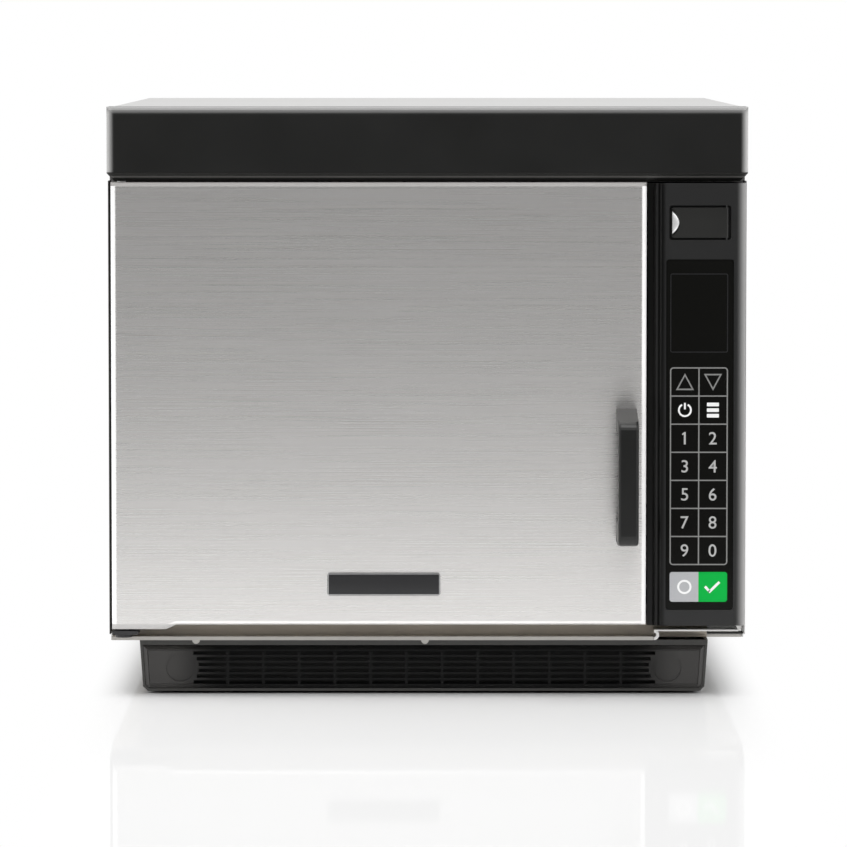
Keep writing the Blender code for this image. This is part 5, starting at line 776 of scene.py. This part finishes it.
def plate_rim():
    """The thin light rim round the door's bare plate."""
    low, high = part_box("door_plate")
    left, right = low.x + RIM_INSET, high.x - RIM_INSET
    foot, top = low.z + RIM_INSET, high.z - RIM_INSET
    bm = bmesh.new()
    frame_line(bm, left, foot, right, top, RIM_ROUND, RIM_LINE, low.y - PRINT_LIFT)
    piece("plate_rim", bm, PLATE_RIM, "door")


# Floor
FLOOR_FRONT = -1.15
FLOOR_BACK = 30.0
FLOOR_SIDE = 8.0
FLOOR_CELLS = 3.0
FLOOR_TONES = (0.955, 0.965)
# How much of the floor mirrors, and how roughly
FLOOR_MIRROR = 0.14
MIRROR_ROUGH = (0.03, 0.05)
# Near the oven the camera sees this darker tone, a painted shade, up to these distances from the middle and
# back on Y
FLOOR_SHADE_TONE = 0.66
SHADE_SIDE = (0.36, 0.24)
SHADE_BACK = (0.5, -0.2)
# Beyond these the camera sees a plain white
STAND_SIDE = (0.262, 0.216)
STAND_BACK = (0.90, 0.36)


def stand_masks(finish, side, back):
    """Masks of the floor round the oven, which fade out to both sides and to the back."""
    masks = [finish.fade("X", turn * side[0], turn * side[1]) for turn in (-1, 1)]
    return [finish.fade("Y", *back)] + masks


def lay_floor():
    """A wide white floor, which the camera sees darker near the oven, as painted shade, and with a faint
    mirror image there.
    """
    finish = Finish("floor_white")
    seen = finish.tree.nodes.new("ShaderNodeLightPath").outputs["Is Camera Ray"]
    value = finish.spread(finish.noise(FLOOR_CELLS), 0.0, 1.0)
    near = finish.join("MULTIPLY", seen, *stand_masks(finish, SHADE_SIDE, SHADE_BACK))
    tone = mix(finish.tree, near, mix(finish.tree, value, *FLOOR_TONES), FLOOR_SHADE_TONE)
    finish.link(tone, finish.shader.inputs["Base Color"])
    finish.set(Specular_IOR_Level=0.0, Roughness=1.0)
    mirror = finish.tree.nodes.new("ShaderNodeBsdfAnisotropic")
    finish.link(finish.spread(value, *MIRROR_ROUGH), mirror.inputs["Roughness"])
    finish.cover(FLOOR_MIRROR, mirror.outputs["BSDF"])
    stand = finish.join("MULTIPLY", seen, *stand_masks(finish, STAND_SIDE, STAND_BACK))
    white = finish.tree.nodes.new("ShaderNodeEmission")
    finish.cover(finish.join("SUBTRACT", seen, stand), white.outputs["Emission"])
    z = CAD_BOUNDS[0][2]
    corners = (
        (-FLOOR_SIDE, FLOOR_FRONT, z), (FLOOR_SIDE, FLOOR_FRONT, z),
        (FLOOR_SIDE, FLOOR_BACK, z), (-FLOOR_SIDE, FLOOR_BACK, z),
    )
    bm = bmesh.new()
    bm.faces.new([bm.verts.new(corner) for corner in corners])
    mesh = bpy.data.meshes.new("floor")
    bm.to_mesh(mesh)
    bm.free()
    mesh.materials.append(finish.material)
    floor = bpy.data.objects.new("floor", mesh)
    bpy.context.scene.collection.objects.link(floor)


# Light
SIDE_LIGHT = 1.0
TOP_LIGHT = 1.25
TOP_BAND = (0.25, 0.60)
FRONT_LIGHT = 0.13
FRONT_CONE = (-0.66, -0.94)
LAMP_PLACE = (0.0, -0.80, 1.9)
LAMP_TARGET = (0.0, -0.80, 0.0)
LAMP_SIZE = (1.6, 1.0)
LAMP_POWER = 18.5


def make_world():
    """White for the camera; for the rest light from the sides and above, and a dark room in front."""
    world = bpy.data.worlds.new("studio")
    bpy.context.scene.world = world
    world.use_nodes = True
    tree = world.node_tree
    place = tree.nodes.new("ShaderNodeTexCoord")
    split = tree.nodes.new("ShaderNodeSeparateXYZ")
    tree.links.new(place.outputs["Generated"], split.inputs["Vector"])
    room = mix(tree, ramp(tree, split.outputs["Y"], *FRONT_CONE), SIDE_LIGHT, FRONT_LIGHT)
    light = mix(tree, ramp(tree, split.outputs["Z"], *TOP_BAND), room, TOP_LIGHT)
    paths = tree.nodes.new("ShaderNodeLightPath")
    seen = mix(tree, paths.outputs["Is Camera Ray"], light, 1.0)
    tree.links.new(seen, tree.nodes["Background"].inputs["Color"])
    tree.nodes["Background"].inputs["Strength"].default_value = 1.0


def hang_lamp():
    """A wide soft lamp over the floor in front of the oven."""
    light = bpy.data.lights.new("overhead", "AREA")
    light.shape = "RECTANGLE"
    light.size, light.size_y = LAMP_SIZE
    light.energy = LAMP_POWER
    lamp = bpy.data.objects.new("overhead", light)
    lamp.location = LAMP_PLACE
    lamp.rotation_euler = (Vector(LAMP_TARGET) - Vector(LAMP_PLACE)).to_track_quat("-Z", "Y").to_euler()
    bpy.context.scene.collection.objects.link(lamp)


# Camera
LENS = 243.14
SENSOR = 36.0
CAMERA_REACH = 50.0
CAMERA_PLACE = (-0.0029, -4.640, 0.5072)
CAMERA_DIP = 3.893


def place_camera():
    """A long lens in front of the oven, a little above its top, looking slightly down."""
    data = bpy.data.cameras.new("camera")
    data.lens = LENS
    data.sensor_width = SENSOR
    data.clip_end = CAMERA_REACH
    data.dof.use_dof = False
    camera = bpy.data.objects.new("camera", data)
    camera.location = CAMERA_PLACE
    camera.rotation_euler = (math.radians(90 - CAMERA_DIP), 0.0, 0.0)
    bpy.context.scene.collection.objects.link(camera)
    bpy.context.scene.camera = camera


dress_frame()
print_grid()
print_arrows()
print_signs()
print_digits()
print_stop_start()
flap_insert()
plate_rim()
lay_floor()
make_world()
hang_lamp()
place_camera()
bpy.context.scene.view_settings.view_transform = "Standard"
